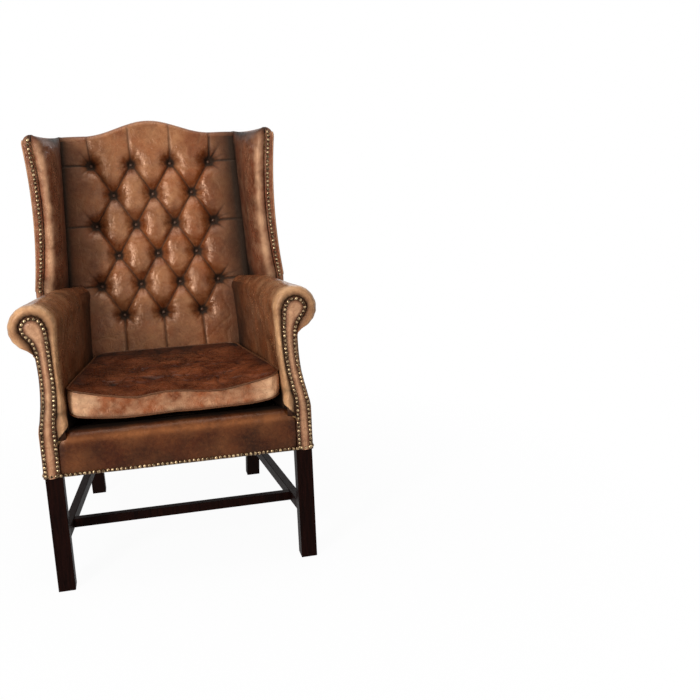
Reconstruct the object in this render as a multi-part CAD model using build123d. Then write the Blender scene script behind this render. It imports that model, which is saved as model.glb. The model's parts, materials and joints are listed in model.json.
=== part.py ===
from build123d import *
import math
import os

os.makedirs("parts", exist_ok=True)

# A wing armchair with a deep buttoned back, scrolled arms and a loose seat
# cushion, on square legs with an H stretcher. Millimetres. x runs to the right
# as the chair is seen from the front, y from the front of the legs to the back,
# z up from the floor. Right and left are as seen from the front.

# Legs and stretchers
front_half = 332  # half the width over the front legs
front_leg_side = 42
rear_half = 270  # half the width over the rear legs
rear_leg_width = 41
rear_foot_y = 652  # front of a rear foot
rear_foot_depth = 41
stretcher_bottom = 110
stretcher_height = 28
stretcher_width = 22
cross_stretcher_y = 132
cross_stretcher_height = 24
tenon_length = 20
tenon_thickness = 12
tenon_shoulder = 6  # wood left above and below a tenon

# Seat frame
apron_bottom = 304  # lower edge of the leather
rail_height = 76
rail_thickness = 30
rail_setback = 3  # front rail behind the front of the legs
corner_block_size = 70
corner_block_height = 40
corner_block_drop = 12  # below the top of the rails

# Covers and seat filling
cover = 2.5  # leather with the lining under it
webbing = 1.5
strap_width = 50
strap_tack = 5  # how far the back straps run onto the posts
dust_cloth = 1.5
spring_height = 86
spring_radius = 42
spring_waist = 28
spring_columns = 3
spring_rows = 3
spring_sides = 8
spring_pitch_x = 140
spring_pitch_y = 132
first_spring_y = 158
hessian = 2
deck_side_z = 405
deck_front_crown = 8
deck_crown = 18.7
deck_back_crown = 10
lip_depth = 62  # padded front edge, front to back
lip_top = 399
border_padding = 5  # in front of the rail
strip_width = 33  # leather strip at each end of the front border

# Back, measured square to its slope
recline = 11.5  # degrees
button_y = 578  # middle button of the lowest row
button_z = 587
button_rows = 6
row_pitch = 90
button_pitch = 116
button_radius = 8
button_height = 7
button_edge_taper = 8  # degrees
button_crown_taper = 52
button_sink = 3
twine_radius = 1.2
pit_width = 6  # flat of the pleats under a button
puff = 32  # crown of a full diamond over the buttons
puff_edge = 8  # height of the padding against the wings
pleat_rise = 8  # pleats between two buttons
side_valley = 10
pad_depth = 22  # padding behind the buttons
post_depth = 36
crest_rail_height = 74  # under the shoulders
wall_inset = 23  # buttoned back inside the rear legs, each side
wall_z = 770
wall_lean_share = 0.035
shoulder_top = 1114
hump_rise = 40
hump_half = 190
crest_wrap = 4
lower_rail_z = 455
lower_rail_height = 50
pleat_spread = 12  # how far the top pleats fan out

# Arms: scroll at the front, at the foot of the wing and at the back
roll_front_inset = 18  # middle of the scroll inside the outer side of the frame
roll_front_z = 677
roll_front_radius = 56
roll_foot_inset = 12
roll_foot_drop = 13  # below the scroll at the front
roll_foot_radius = 47
roll_rear_inset = 32
roll_rear_drop = 25
roll_rear_radius = 31
arm_front_width = 63  # inner face of an arm inside the outer side of the frame
arm_foot_width = 60
arm_rear_width = 62
inner_hollow = 4
waist_front = 22  # how far the arm draws in under its scroll
waist_hollow = 8.6
rear_bow = 0.5
fold_z = 428
scroll_padding = 15
arm_nose = 9
outer_gap = 6  # hollow between the arm padding and its outside panel
facing_thickness = 5
facing_width = 27
teardrop_radius = 27
teardrop_inset = 21
stump_thickness = 28
stump_width = 57
arm_rail_width = 28
arm_rail_height = 26
arm_rail_front_inset = 16
arm_rail_foot_inset = -14
arm_rail_rear_inset = 20

# Wings
wing_foot_y = 374
wing_foot_rise = 35  # above the middle of the front scroll
wing_top_rise = 4  # over the shoulder of the back
wing_top_y = 348
wing_foot_inset = 3  # outer face of the front edge inside the front leg
wing_waist_inset = 20
wing_top_inset = 11
wing_foot_strip = 30  # front strip, across
wing_waist_strip = 24
wing_top_strip = 25
wing_inner_bulge = 9
wing_front_bulge = 5
wing_round = 11  # rounding over the top edge
wing_round_step = 5
wing_root = 16  # where the wing lining meets the buttoned back
upright_depth = 44
upright_inset = 5
top_rail_height = 28
top_rail_width = 18
wing_padding_top = 14  # over the top rail

# Cushion
cushion_gap = 4
cushion_front_y = 14
cushion_back_y = 526
cushion_corner_radius = 34
cushion_bulge = 6
cushion_bottom = 424
border_height = 62
corner_lift = 22  # front corners stand higher than the sat-on middle
middle_lift = 12
back_lift = 6
cushion_crown = 8
cushion_back_fall = 8
front_sag = 18

# Clearances
clearance = 0.3
button_clearance = 0.5
overrun = 40
panel_overrun = 160

# Flats along a padded curve
flat_twist = 1e-4  # a facet with less twist than this is plane
puff_sides = 6
scroll_sides = 8
hollow_sides = 4
cloth_sides = 6
crown_sides = 8
nose_sides = 4
button_sides = 8
twine_sides = 4

# Shares
wing_waist_share = 0.54  # of the height of a wing
shoulder_angle = 195  # degrees round the scroll, where the inner face joins
tuck_angle = -60  # where the scroll turns in under itself
first_arc_angle = 142
second_arc_angle = 15
edge_fade_shares = (0.2, 0.65)  # how the puffs flatten towards the crest and the seat
bottom_end_share = 0.2
slice_shares = (0, 0.17, 0.34, 0.5, 0.66, 0.83, 1)
lip_share = 0.25
lip_rise_share = 0.72


def mix(start, end, share):
    return start + (end - start) * share


def both(name, shape):
    """Writes a right piece and its mirror image on the left."""
    pieces[f"{name}_right"] = shape
    pieces[f"{name}_left"] = mirror(shape, about=Plane.YZ)


def polygon(points):
    return Face(Wire.make_polygon([Vector(*p) for p in points]))


def prism(points, direction):
    """A straight prism on a plane outline."""
    return extrude(polygon(points), amount=Vector(*direction).length, dir=Vector(*direction))


def plan_prism(points, bottom, height):
    return prism([(x, y, bottom) for x, y in points], (0, 0, height))


def outline(points, mids):
    """A face from corner points; mids names the corner whose next edge is an arc."""
    edges = []
    for i, start in enumerate(points):
        end = points[(i + 1) % len(points)]
        if i in mids:
            edges.append(Edge.make_three_point_arc(start, mids[i], end))
        else:
            edges.append(Edge.make_line(start, end))
    return Face(Wire(edges))


def soft_outline(points, mids, flats, hollows=()):
    """Corner points with each arc as a few flats, fewer along a slight hollow."""
    line = []
    for i, start in enumerate(points):
        line.append(start)
        if i in mids:
            arc = Edge.make_three_point_arc(start, mids[i], points[(i + 1) % len(points)])
            count = hollow_sides if i in hollows else flats
            line += [tuple(arc.position_at(step / count)) for step in range(1, count)]
    return line


def skin(lines):
    """A solid through a row of outlines, which keep their corners in step, in flat facets."""
    faces = [polygon(lines[0]), polygon(lines[-1])]
    for low, high in zip(lines, lines[1:]):
        for i in range(len(low)):
            quad = [low[i - 1], low[i], high[i], high[i - 1]]
            run, across, rise = (Vector(*p) - Vector(*quad[0]) for p in quad[1:])
            if abs(run.cross(across).dot(rise)) < flat_twist:
                faces.append(polygon(quad))
            else:
                faces.append(polygon(quad[:3]))
                faces.append(polygon([quad[0], quad[2], quad[3]]))
    return Solid(Shell(faces))


# Derived sizes
pieces = {}
slope = math.radians(recline)
rail_bottom = apron_bottom + dust_cloth + 2 * webbing
rail_top = rail_bottom + rail_height
post_front = -pad_depth - 2 * webbing
post_rear = post_front - post_depth
strip_inner = front_half + cover - strip_width


def back_y(z, w):
    """How far back the plane w in front of the buttons is, at height z."""
    return button_y + (z - button_z) * math.tan(slope) - w / math.cos(slope)


def along(z):
    """Distance up the slope of the back from the lowest buttons to height z."""
    return (z - button_z) / math.cos(slope)


def back_point(s, w):
    y = button_y + s * math.sin(slope) - w * math.cos(slope)
    return y, button_z + s * math.cos(slope) + w * math.sin(slope)


back_plane = Plane(
    origin=(0, button_y, button_z),
    x_dir=(1, 0, 0),
    z_dir=(0, -math.cos(slope), math.sin(slope)),
)


def on_back(shape):
    """Moves a shape from the back's own x, up-slope and outward frame."""
    return back_plane.location * shape


def back_bar(left, right, low, high, rear, front):
    """A level bar across the back: two faces on its slope, two level."""
    points = [
        (left, back_y(low, front), low),
        (left, back_y(low, rear), low),
        (left, back_y(high, rear), high),
        (left, back_y(high, front), high),
    ]
    return prism(points, (right - left, 0, 0))


def back_box(left, right, low, high, rear, front):
    points = [(left, low, rear), (right, low, rear), (right, high, rear), (left, high, rear)]
    return on_back(prism(points, (0, 0, front - rear)))


knee = along(rail_bottom)
rail_knee_y = back_y(rail_bottom, post_front)
crest_s = along(shoulder_top + hump_rise)
shoulder_s = along(shoulder_top)
wall_half = rear_half - wall_inset


def side_x(y):
    """Outside of the seat frame: straight along a front leg, then tapering."""
    share = (y - front_leg_side) / (rail_knee_y - front_leg_side)
    return mix(front_half, rear_half, min(max(share, 0), 1))


foot_side = side_x(wing_foot_y)
roll_front_x = front_half - roll_front_inset
roll_foot_x = foot_side - roll_foot_inset
roll_foot_z = roll_front_z - roll_foot_drop
roll_rear_x = rear_half - roll_rear_inset
roll_rear_z = roll_front_z - roll_rear_drop
inner_front = front_half - arm_front_width
inner_foot = foot_side - arm_foot_width
inner_rear = rear_half - arm_rear_width
teardrop_x = front_half - teardrop_inset
teardrop_z = roll_front_z
stump_inner = front_half - stump_width
arm_rail_front_x = front_half - arm_rail_front_inset
arm_rail_foot_x = foot_side - arm_rail_foot_inset
arm_rail_rear_x = rear_half - arm_rail_rear_inset
wing_foot_z = roll_front_z + wing_foot_rise
wing_top = shoulder_top + wing_top_rise
wing_waist_z = mix(wing_foot_z, wing_top, wing_waist_share)
foot_outer = front_half - wing_foot_inset
waist_outer = front_half - wing_waist_inset
top_outer = front_half - wing_top_inset
foot_seam = foot_outer - wing_foot_strip
waist_seam = waist_outer - wing_waist_strip
top_seam = top_outer - wing_top_strip

# Rear legs
outer_s = along(shoulder_top - crest_rail_height)
leg_profile = [
    (rear_foot_y, 0),
    (rear_foot_y + rear_foot_depth, 0),
    (back_y(apron_bottom, post_rear), apron_bottom),
    back_point(outer_s, post_rear),
    back_point(outer_s, post_front),
    (back_y(apron_bottom, post_front), apron_bottom),
]
rear_inner = rear_half - rear_leg_width
rear_leg = prism([(rear_inner, y, z) for y, z in leg_profile], (rear_leg_width, 0, 0))


def rear_leg_y(z):
    """Middle of the raked part of a rear leg at height z."""
    knee_y = back_y(apron_bottom, (post_front + post_rear) / 2)
    return mix(rear_foot_y + rear_foot_depth / 2, knee_y, z / apron_bottom)


# Front legs
leg_inner = front_half - front_leg_side
front_leg = plan_prism(
    [(leg_inner, 0), (front_half, 0), (front_half, front_leg_side), (leg_inner, front_leg_side)],
    0,
    rail_top,
)


# Stretchers
def plan_beam(start, end, width, bottom, height):
    """A straight horizontal bar between two points in plan."""
    run = Vector(*end) - Vector(*start)
    side = Vector(-run.Y, run.X).normalized() * (width / 2)
    points = [Vector(*start) - side, Vector(*end) - side, Vector(*end) + side, Vector(*start) + side]
    return plan_prism([(p.X, p.Y) for p in points], bottom, height)


stretcher_z = stretcher_bottom + stretcher_height / 2
stretcher_ends = [
    (front_half - front_leg_side / 2, front_leg_side / 2),
    (rear_half - rear_leg_width / 2, rear_leg_y(stretcher_z)),
]
side_bar = plan_beam(*stretcher_ends, stretcher_width, stretcher_bottom, stretcher_height)
side_tongue = plan_beam(
    *stretcher_ends,
    tenon_thickness,
    stretcher_bottom + tenon_shoulder,
    stretcher_height - 2 * tenon_shoulder,
)
side_stretcher = side_bar - front_leg - rear_leg + side_tongue
front_leg -= side_tongue
rear_leg -= side_tongue
cross_y = cross_stretcher_y + stretcher_width / 2
cross_share = (cross_y - stretcher_ends[0][1]) / (stretcher_ends[1][1] - stretcher_ends[0][1])
cross_half = mix(stretcher_ends[0][0], stretcher_ends[1][0], cross_share)
cross_bottom = stretcher_bottom + (stretcher_height - cross_stretcher_height) / 2
cross_bar = plan_beam(
    (-cross_half, cross_y), (cross_half, cross_y), stretcher_width, cross_bottom, cross_stretcher_height
)
cross_tongue = plan_beam(
    (-cross_half, cross_y),
    (cross_half, cross_y),
    tenon_thickness,
    cross_bottom + tenon_shoulder,
    cross_stretcher_height - 2 * tenon_shoulder,
)
left_stretcher = mirror(side_stretcher, about=Plane.YZ)
pieces["cross_stretcher"] = cross_bar - side_stretcher - left_stretcher + cross_tongue
both("side_stretcher", side_stretcher - cross_tongue)

# Seat rails
front_rail_y = rail_setback + rail_thickness / 2
front_rail = plan_beam(
    (-leg_inner, front_rail_y), (leg_inner, front_rail_y), rail_thickness, rail_bottom, rail_height
)
front_tongue = plan_beam(
    (-leg_inner - tenon_length, front_rail_y),
    (leg_inner + tenon_length, front_rail_y),
    tenon_thickness,
    rail_bottom + tenon_shoulder,
    rail_height - 2 * tenon_shoulder,
)
pieces["front_seat_rail"] = front_rail + front_tongue
front_leg -= front_tongue
rail_mid_y = back_y(rail_bottom + rail_height / 2, post_front)
side_rail_plan = [
    (front_half, front_leg_side),
    (rear_half, rail_knee_y),
    (rear_half, rail_mid_y + post_depth),
    (rear_half - rail_thickness, rail_mid_y + post_depth),
    (rear_half - rail_thickness, rail_knee_y),
    (front_half - rail_thickness, front_leg_side),
]
post_space = back_box(0, front_half, knee - overrun, outer_s, post_rear - overrun, post_front)
side_rail = plan_prism(side_rail_plan, rail_bottom, rail_height) - post_space
side_rail_tongue_front = plan_beam(
    (front_half - rail_thickness / 2, front_leg_side - tenon_length),
    (front_half - rail_thickness / 2, front_leg_side),
    tenon_thickness,
    rail_bottom + tenon_shoulder,
    rail_height - 2 * tenon_shoulder,
)
side_rail_tongue_front -= front_tongue
both("side_seat_rail", side_rail + side_rail_tongue_front)
front_leg -= side_rail_tongue_front
rear_rail_inset = (post_depth - rail_thickness) / 2
rear_rail = back_bar(
    -rear_inner,
    rear_inner,
    rail_bottom,
    rail_top,
    post_rear + rear_rail_inset,
    post_front - rear_rail_inset,
)
rear_tongue = back_bar(
    -rear_inner - tenon_length,
    rear_inner + tenon_length,
    rail_bottom + tenon_shoulder,
    rail_top - tenon_shoulder,
    (post_rear + post_front - tenon_thickness) / 2,
    (post_rear + post_front + tenon_thickness) / 2,
)
pieces["rear_seat_rail"] = rear_rail + rear_tongue
rear_leg -= rear_tongue
both("front_leg", front_leg)

# Triangular blocks glued into the four corners of the seat frame
rail_inner_y = rail_setback + rail_thickness
block_bottom = rail_top - corner_block_drop - corner_block_height
front_block = plan_prism(
    [
        (leg_inner - corner_block_size, rail_inner_y),
        (leg_inner, rail_inner_y),
        (leg_inner, front_leg_side),
        (front_half - rail_thickness, front_leg_side),
        (side_x(front_leg_side + corner_block_size) - rail_thickness, front_leg_side + corner_block_size),
    ],
    block_bottom,
    corner_block_height,
)
block_x = side_x(rail_knee_y - corner_block_size) - rail_thickness
rear_rail_front = back_y(block_bottom + corner_block_height, post_front - rear_rail_inset)
rear_block = prism(
    [
        (rear_inner - corner_block_size, rear_rail_front, block_bottom),
        (rear_inner, rear_rail_front, block_bottom),
        (rear_inner, rail_mid_y, block_bottom),
        (rear_half - rail_thickness, rail_knee_y, block_bottom),
        (block_x, rail_knee_y - corner_block_size, block_bottom),
    ],
    (0, 0, corner_block_height),
)
rear_block -= rear_leg
rear_block -= rear_rail
rear_block -= side_rail
blocks = [front_block - side_rail, rear_block]
pieces["corner_blocks"] = Compound([s for b in blocks for s in (b, mirror(b, about=Plane.YZ))])

# Back frame
lower_rail = back_bar(
    -rear_inner,
    rear_inner,
    lower_rail_z,
    lower_rail_z + lower_rail_height,
    post_rear + rear_rail_inset,
    post_front,
)
lower_tongue = back_bar(
    -rear_inner - tenon_length,
    rear_inner + tenon_length,
    lower_rail_z + tenon_shoulder,
    lower_rail_z + lower_rail_height - tenon_shoulder,
    (post_rear + post_front - tenon_thickness) / 2,
    (post_rear + post_front + tenon_thickness) / 2,
)
pieces["lower_back_rail"] = lower_rail + lower_tongue
rear_leg -= lower_tongue
both("rear_leg", rear_leg)


def camel_outline(half, low, drop, w):
    """The humped top of the back, lowered by drop, down to low on the slope."""
    rise = crest_s - shoulder_s
    radius = (hump_half**2 + rise**2) / (4 * rise)
    turn = math.asin(hump_half / 2 / radius)
    top = crest_s - drop
    side = shoulder_s - drop
    lift = radius * (1 - math.cos(turn / 2))
    reach = hump_half - radius * math.sin(turn / 2)
    middle = side + radius * (1 - math.cos(turn))
    points = [
        (-half, low, w),
        (half, low, w),
        (half, side, w),
        (hump_half, side, w),
        (hump_half / 2, middle, w),
        (-hump_half / 2, middle, w),
        (-hump_half, side, w),
        (-half, side, w),
    ]
    mids = {3: (reach, side + lift, w), 4: (0, top, w), 5: (-reach, side + lift, w)}
    return outline(points, mids)


def camel_plate(half, low, drop, rear, front):
    return extrude(camel_outline(half, low, drop, rear), amount=front - rear, dir=(0, 0, 1))


pieces["crest_rail"] = on_back(camel_plate(rear_half, outer_s, crest_wrap, post_rear, post_front))
outside_back = on_back(
    camel_plate(rear_half + cover, knee - overrun, 0, post_rear - cover, post_rear)
)
below = plan_prism(
    [
        (-front_half, 0),
        (front_half, 0),
        (front_half, rear_foot_y + overrun),
        (-front_half, rear_foot_y + overrun),
    ],
    0,
    apron_bottom,
)
pieces["outside_back"] = outside_back - below


# Buttoned back
def wall_x(z):
    """Half the width of the buttoned back, which draws in a little to the top."""
    return wall_half - (z - wall_z) * wall_lean_share


def section(s, pleats, crowns):
    """A level slice of the padding: arcs between the pleats, walls and a flat rear."""
    half_front = wall_x(back_point(s, puff_edge)[1])
    half_rear = wall_x(back_point(s, -pad_depth)[1])
    line = [(-half_front, puff_edge), *pleats, (half_front, puff_edge)]
    points = [(x, s, w) for x, w in line] + [(half_rear, s, -pad_depth), (-half_rear, s, -pad_depth)]
    mids = {}
    for i, crown in enumerate(crowns):
        mids[i] = ((line[i][0] + line[i + 1][0]) / 2, s, crown)
    return soft_outline(points, mids, puff_sides)


def row_places(row):
    """Button places of a row, counted from the lowest; wide rows have one more."""
    count = 3 + row % 2
    return [(i - (count - 1) / 2) * button_pitch for i in range(count)]


def slice_points(share):
    """Pleats and crowns from a row of three buttons (0) to a row of four (1)."""
    half_pit = pit_width / 2
    rise = 4 * pleat_rise * share * (1 - share)
    shift = mix(half_pit, button_pitch / 2 - half_pit, share)
    grow = max(puff * share * (2 - share), rise + clearance)
    fade = max(puff * (1 - share**2), rise + clearance)
    edge = mix(puff, side_valley, share**2)
    pleats = [(x + side, rise) for x in row_places(0) for side in (-shift, shift)]
    return pleats, [edge, grow, fade, grow, fade, grow, edge]


def band_slice(row, side, share):
    """A slice between a row of three buttons and the row of four on one side of it."""
    return section((row + side * share) * row_pitch, *slice_points(share))


def end_slice(start, end, share, shape_share, spread):
    """A slice between the last row of buttons and an edge of the back."""
    fade = edge_fade_shares[0] * share + edge_fade_shares[1] * share**2
    rise = pleat_rise * share
    pleats, crowns = slice_points(shape_share)
    line = [(x * (1 + share * spread / button_pitch), rise) for x, _ in pleats]
    crowns = [max(crown * (1 - fade), 0) + rise + clearance for crown in crowns]
    if shape_share == 1:
        crowns[0] = crowns[-1] = mix(crowns[0], crowns[1], share * (1 - share))
    return section(mix(start, end, share), line, crowns)


bottom_s = along(rail_top) + pad_depth * math.tan(slope) + clearance
top_row = (button_rows - 1) * row_pitch
slices = [end_slice(0, bottom_s, share, 0, 0) for share in reversed(slice_shares[1:])]
slices.append(band_slice(0, 1, 0))
for row in range(button_rows - 1):
    odd = row % 2
    for share in slice_shares[1:]:
        slices.append(band_slice(row + odd, 1 - 2 * odd, 1 - share if odd else share))
slices += [end_slice(top_row, crest_s + crest_wrap, share, 1, pleat_spread) for share in slice_shares[1:]]
padding = skin(slices)
padding = padding & camel_plate(wall_half + overrun, bottom_s, 0, post_rear, puff + overrun)
wrap = camel_plate(rear_half, shoulder_s - crest_wrap, 0, post_rear, -pad_depth)
wrap -= camel_plate(rear_half, outer_s, crest_wrap, post_rear, -pad_depth)
padding += wrap
places = [(x, row * row_pitch) for row in range(button_rows) for x in row_places(row)]


def at_buttons(shape):
    return [Pos(x, s, 0) * shape for x, s in places]


def facets(radius, sides, low, high, taper=0):
    """A many-sided button, hole or thread square to the back."""
    return extrude(Pos(0, 0, low) * RegularPolygon(radius, sides), amount=high - low, taper=taper)


button_edge = facets(button_radius, button_sides, -button_sink, button_height / 2, button_edge_taper)
crown_radius = button_radius - (button_height / 2 + button_sink) * math.tan(math.radians(button_edge_taper))
button = button_edge + facets(
    crown_radius, button_sides, button_height / 2, button_height, button_crown_taper
)
pocket = facets(button_radius + button_clearance, button_sides, -button_sink, puff + overrun)
twine_end = -pad_depth - webbing
twine = facets(twine_radius, twine_sides, twine_end, -button_sink)
padding = padding.cut(*at_buttons(pocket), *at_buttons(twine))
pieces["back_buttons"] = Compound([on_back(b) for b in at_buttons(button)])
pieces["button_twines"] = Compound([on_back(t) for t in at_buttons(twine)])

# Back webbing
upright_straps = []
level_straps = []
strap_low = along(lower_rail_z) + tenon_shoulder
strap_reach = rear_inner + strap_tack
strap_high = outer_s + strap_width
strap_count = 4
for i in range(strap_count):
    x = (i - (strap_count - 1) / 2) * button_pitch
    upright_straps.append(
        back_box(
            x - strap_width / 2,
            x + strap_width / 2,
            strap_low,
            strap_high,
            -pad_depth - webbing,
            -pad_depth,
        )
    )
for row in range(button_rows):
    s = row * row_pitch
    level_straps.append(
        back_box(
            -strap_reach,
            strap_reach,
            s - strap_width / 2,
            s + strap_width / 2,
            post_front,
            -pad_depth - webbing,
        )
    )
twine_holes = [on_back(t) for t in at_buttons(twine)]
straps = [strap.cut(*twine_holes) for strap in upright_straps]
pieces["back_webbing"] = Compound([s for strap in straps for s in strap.solids()] + level_straps)


# Arms
def round_point(station, angle, inset=0):
    """A point on the scroll of an arm, angle counted from the outside."""
    y, inner, x, z, radius = station
    turn = math.radians(angle)
    return x + (radius - inset) * math.cos(turn), y, z + (radius - inset) * math.sin(turn)


def arm_share(y):
    return max(y, 0) / rail_knee_y


def waist_x(y):
    """Outside of the arm where it draws in under the scroll, inside its panel."""
    return side_x(y) - mix(waist_front, 0, min(arm_share(y), 1))


def bow(y):
    return mix(-waist_hollow, rear_bow, min(arm_share(y), 1))


def tuck_z(station):
    return round_point(station, tuck_angle)[2]


def arm_section(station, inset=0, shift=0):
    """Upright slice of an arm: inner face, scroll, tucked underside and outer side."""
    y, inner = station[:2]
    start = round_point(station, shoulder_angle, inset)
    top = round_point(station, 90, inset)
    end = round_point(station, tuck_angle, inset)
    outer = side_x(y) - outer_gap - inset
    waist = waist_x(y) - outer_gap - inset
    low = rail_top + inset
    points = [
        (inner + inset, y, low),
        start,
        top,
        end,
        (waist, y, end[2] - inset),
        (outer, y, fold_z),
        (outer, y, low),
    ]
    mids = {
        0: ((inner + inset + start[0]) / 2 + inner_hollow, y, (low + start[2]) / 2),
        1: round_point(station, first_arc_angle, inset),
        2: round_point(station, second_arc_angle, inset),
        4: ((waist + outer) / 2 + bow(y), y, (end[2] - inset + fold_z) / 2),
    }
    line = soft_outline(points, mids, scroll_sides, hollows=(0, 4))
    return [(x, y + shift, z) for x, y, z in line]


arm_end_y = back_y(roll_rear_z + roll_rear_radius, post_front) + clearance
front_station = (0, inner_front, roll_front_x, roll_front_z, roll_front_radius)
foot_station = (wing_foot_y, inner_foot, roll_foot_x, roll_foot_z, roll_foot_radius)
rear_station = (arm_end_y, inner_rear, roll_rear_x, roll_rear_z, roll_rear_radius)
nose_turns = [math.radians(90 * (nose_sides - i) / nose_sides) for i in range(nose_sides + 1)]
arm_form = skin([arm_section(s) for s in (front_station, foot_station, rear_station)])
nose = skin(
    [
        arm_section(front_station, arm_nose * (1 - math.cos(turn)), -arm_nose * math.sin(turn))
        for turn in nose_turns
    ]
)
arm_form += nose
behind = back_box(-front_half, front_half, bottom_s - overrun, crest_s, post_rear - overrun, post_front)
arm_form -= behind


def facing_edge(inset):
    """Outer edge of an arm front, from the rail up to the waist, drawn in by inset."""
    outer = front_half + cover - inset
    waist = outer - waist_front
    high = tuck_z(front_station) + cover
    return outer, waist, high, (outer + waist) / 2 - waist_hollow


outer, waist, high, hollow = facing_edge(0)
neck_turn = math.asin(min((waist - teardrop_x) / teardrop_radius, 1))
neck_z = teardrop_z - teardrop_radius * math.cos(neck_turn)
inner_waist = waist - facing_width
inner_turn = math.asin(min((teardrop_x - inner_waist) / teardrop_radius, 1))
inner_neck_z = teardrop_z - teardrop_radius * math.cos(inner_turn)
facing_points = [
    (strip_inner, 0, apron_bottom),
    (outer, 0, apron_bottom),
    (outer, 0, fold_z),
    (waist, 0, high),
    (waist, 0, neck_z),
    (teardrop_x, 0, teardrop_z + teardrop_radius),
    (inner_waist, 0, inner_neck_z),
    (inner_waist, 0, high),
    (strip_inner, 0, fold_z),
]
facing_mids = {
    2: (hollow, 0, (high + fold_z) / 2),
    4: (teardrop_x + teardrop_radius, 0, teardrop_z),
    5: (
        teardrop_x - teardrop_radius * math.sin(math.pi / 4),
        0,
        teardrop_z + teardrop_radius * math.cos(math.pi / 4),
    ),
    7: ((inner_waist + strip_inner) / 2 - waist_hollow, 0, (high + fold_z) / 2),
}
facing_face = outline(facing_points, facing_mids)
facing = extrude(facing_face, amount=facing_thickness, dir=(0, -1, 0))
facing_well = extrude(facing_face, amount=arm_nose + overrun, dir=(0, -1, 0))
both("arm_facing", facing)

# Scroll board: a post on the leg with a round head
outer, waist, high, hollow = facing_edge(cover)
stump_points = [
    (stump_inner, 0, rail_top),
    (outer, 0, rail_top),
    (outer, 0, fold_z),
    (waist, 0, high),
    (waist, 0, roll_front_z),
    (stump_inner, 0, roll_front_z),
]
stump_face = outline(stump_points, {2: (hollow, 0, (high + fold_z) / 2)})
stump = extrude(stump_face, amount=stump_thickness, dir=(0, 1, 0))
head = Cylinder(
    roll_front_radius - scroll_padding,
    stump_thickness,
    rotation=(90, 0, 0),
    align=(Align.CENTER, Align.CENTER, Align.MAX),
)
stump += Pos(roll_front_x, 0, roll_front_z) * head


def rectangle(x, y, z, width, height):
    points = [
        (x - width / 2, y, z - height / 2),
        (x + width / 2, y, z - height / 2),
        (x + width / 2, y, z + height / 2),
        (x - width / 2, y, z + height / 2),
    ]
    return polygon(points)


arm_rail = loft(
    [
        rectangle(arm_rail_front_x, stump_thickness, roll_front_z, arm_rail_width, arm_rail_height),
        rectangle(arm_rail_foot_x, wing_foot_y, roll_foot_z, arm_rail_width, arm_rail_height),
        rectangle(arm_rail_rear_x, arm_end_y, roll_rear_z, arm_rail_width, arm_rail_height),
    ],
    ruled=True,
)
arm_rail -= behind
both("arm_stump", stump)


# Outside panel of an arm, from the rail up into the tucked scroll
def panel_section(y, high):
    points = []
    mids = {}
    for inset in (0, cover):
        outer = side_x(y) + cover - inset
        waist = waist_x(y) + cover - inset
        middle = ((outer + waist) / 2 + bow(y), y, (high + fold_z) / 2)
        side = [(outer, y, apron_bottom), (outer, y, fold_z), (waist, y, high)]
        if inset:
            side.reverse()
            mids[3] = middle
        else:
            mids[1] = middle
        points += side
    return soft_outline(points, mids, hollow_sides)


panel_high = tuck_z(front_station) + cover
wing_bottom = tuck_z(foot_station) + cover
panel_far_y = back_y(roll_rear_z, post_rear) + overrun
panel = skin(
    [
        panel_section(0, panel_high),
        panel_section(front_leg_side, panel_high),
        panel_section(rail_knee_y, wing_bottom),
        panel_section(panel_far_y, wing_bottom),
    ]
)
panel -= back_box(-front_half, front_half, knee - overrun, crest_s, post_rear - panel_overrun, post_rear)

# Wings
wing_levels = [
    (wing_bottom, foot_outer, foot_seam, wing_foot_y),
    (wing_foot_z, foot_outer, foot_seam, wing_foot_y),
    (wing_waist_z, waist_outer, waist_seam, mix(wing_foot_y, wing_top_y, wing_waist_share)),
    (wing_top - wing_round, top_outer, top_seam, wing_top_y),
]


def wing_section(level, inset=0, lift=0):
    """Level slice of a wing's filling: lined inner side, rounded front, outer side."""
    z, outer, seam, front = level
    root = wall_x(z) + clearance
    y_root = back_y(z, wing_root)
    y_rear = back_y(z, post_front)
    z += lift
    seat = [
        (seam + inset, front + inset, z),
        (root, y_root, z),
        (root, y_rear, z),
        (rear_half, y_rear, z),
        (outer - cover - inset, front + inset, z),
    ]
    run = Vector(root - seam, y_root - front).normalized()
    middle = ((seam + root) / 2 - run.Y * wing_inner_bulge, (front + y_root) / 2 + run.X * wing_inner_bulge)
    mids = {
        0: (middle[0] + inset, middle[1], z),
        4: ((outer + seam - cover) / 2, front - wing_front_bulge + inset, z),
    }
    return soft_outline(seat, mids, cloth_sides)


def wing_panel_section(level, extra=0):
    """Level slice of a wing's outside panel, made thicker outwards by extra."""
    z, outer, seam, front = level
    y_front = back_y(z, post_front)
    y_rear = back_y(z, post_rear)
    points = [
        (outer + extra, front, z),
        (rear_half + cover + extra, y_front, z),
        (rear_half + cover + extra, y_rear, z),
        (rear_half, y_rear, z),
        (rear_half, y_front, z),
        (outer - cover, front, z),
    ]
    return points


wing_panel = skin([wing_panel_section(level) for level in wing_levels])
wing_guard = skin([wing_panel_section(level, overrun) for level in wing_levels])
panel -= wing_panel
both("outside_arm", panel)
wing_form = skin([wing_section(level) for level in wing_levels])
wing_cap = skin(
    [
        wing_section(wing_levels[-1]),
        wing_section(wing_levels[-1], wing_round_step / 2, wing_round - wing_round_step),
        wing_section(wing_levels[-1], wing_round_step, wing_round),
    ]
)
wing_form += wing_cap
both("wing_outside", wing_panel)
arm_form -= wing_guard

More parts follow.
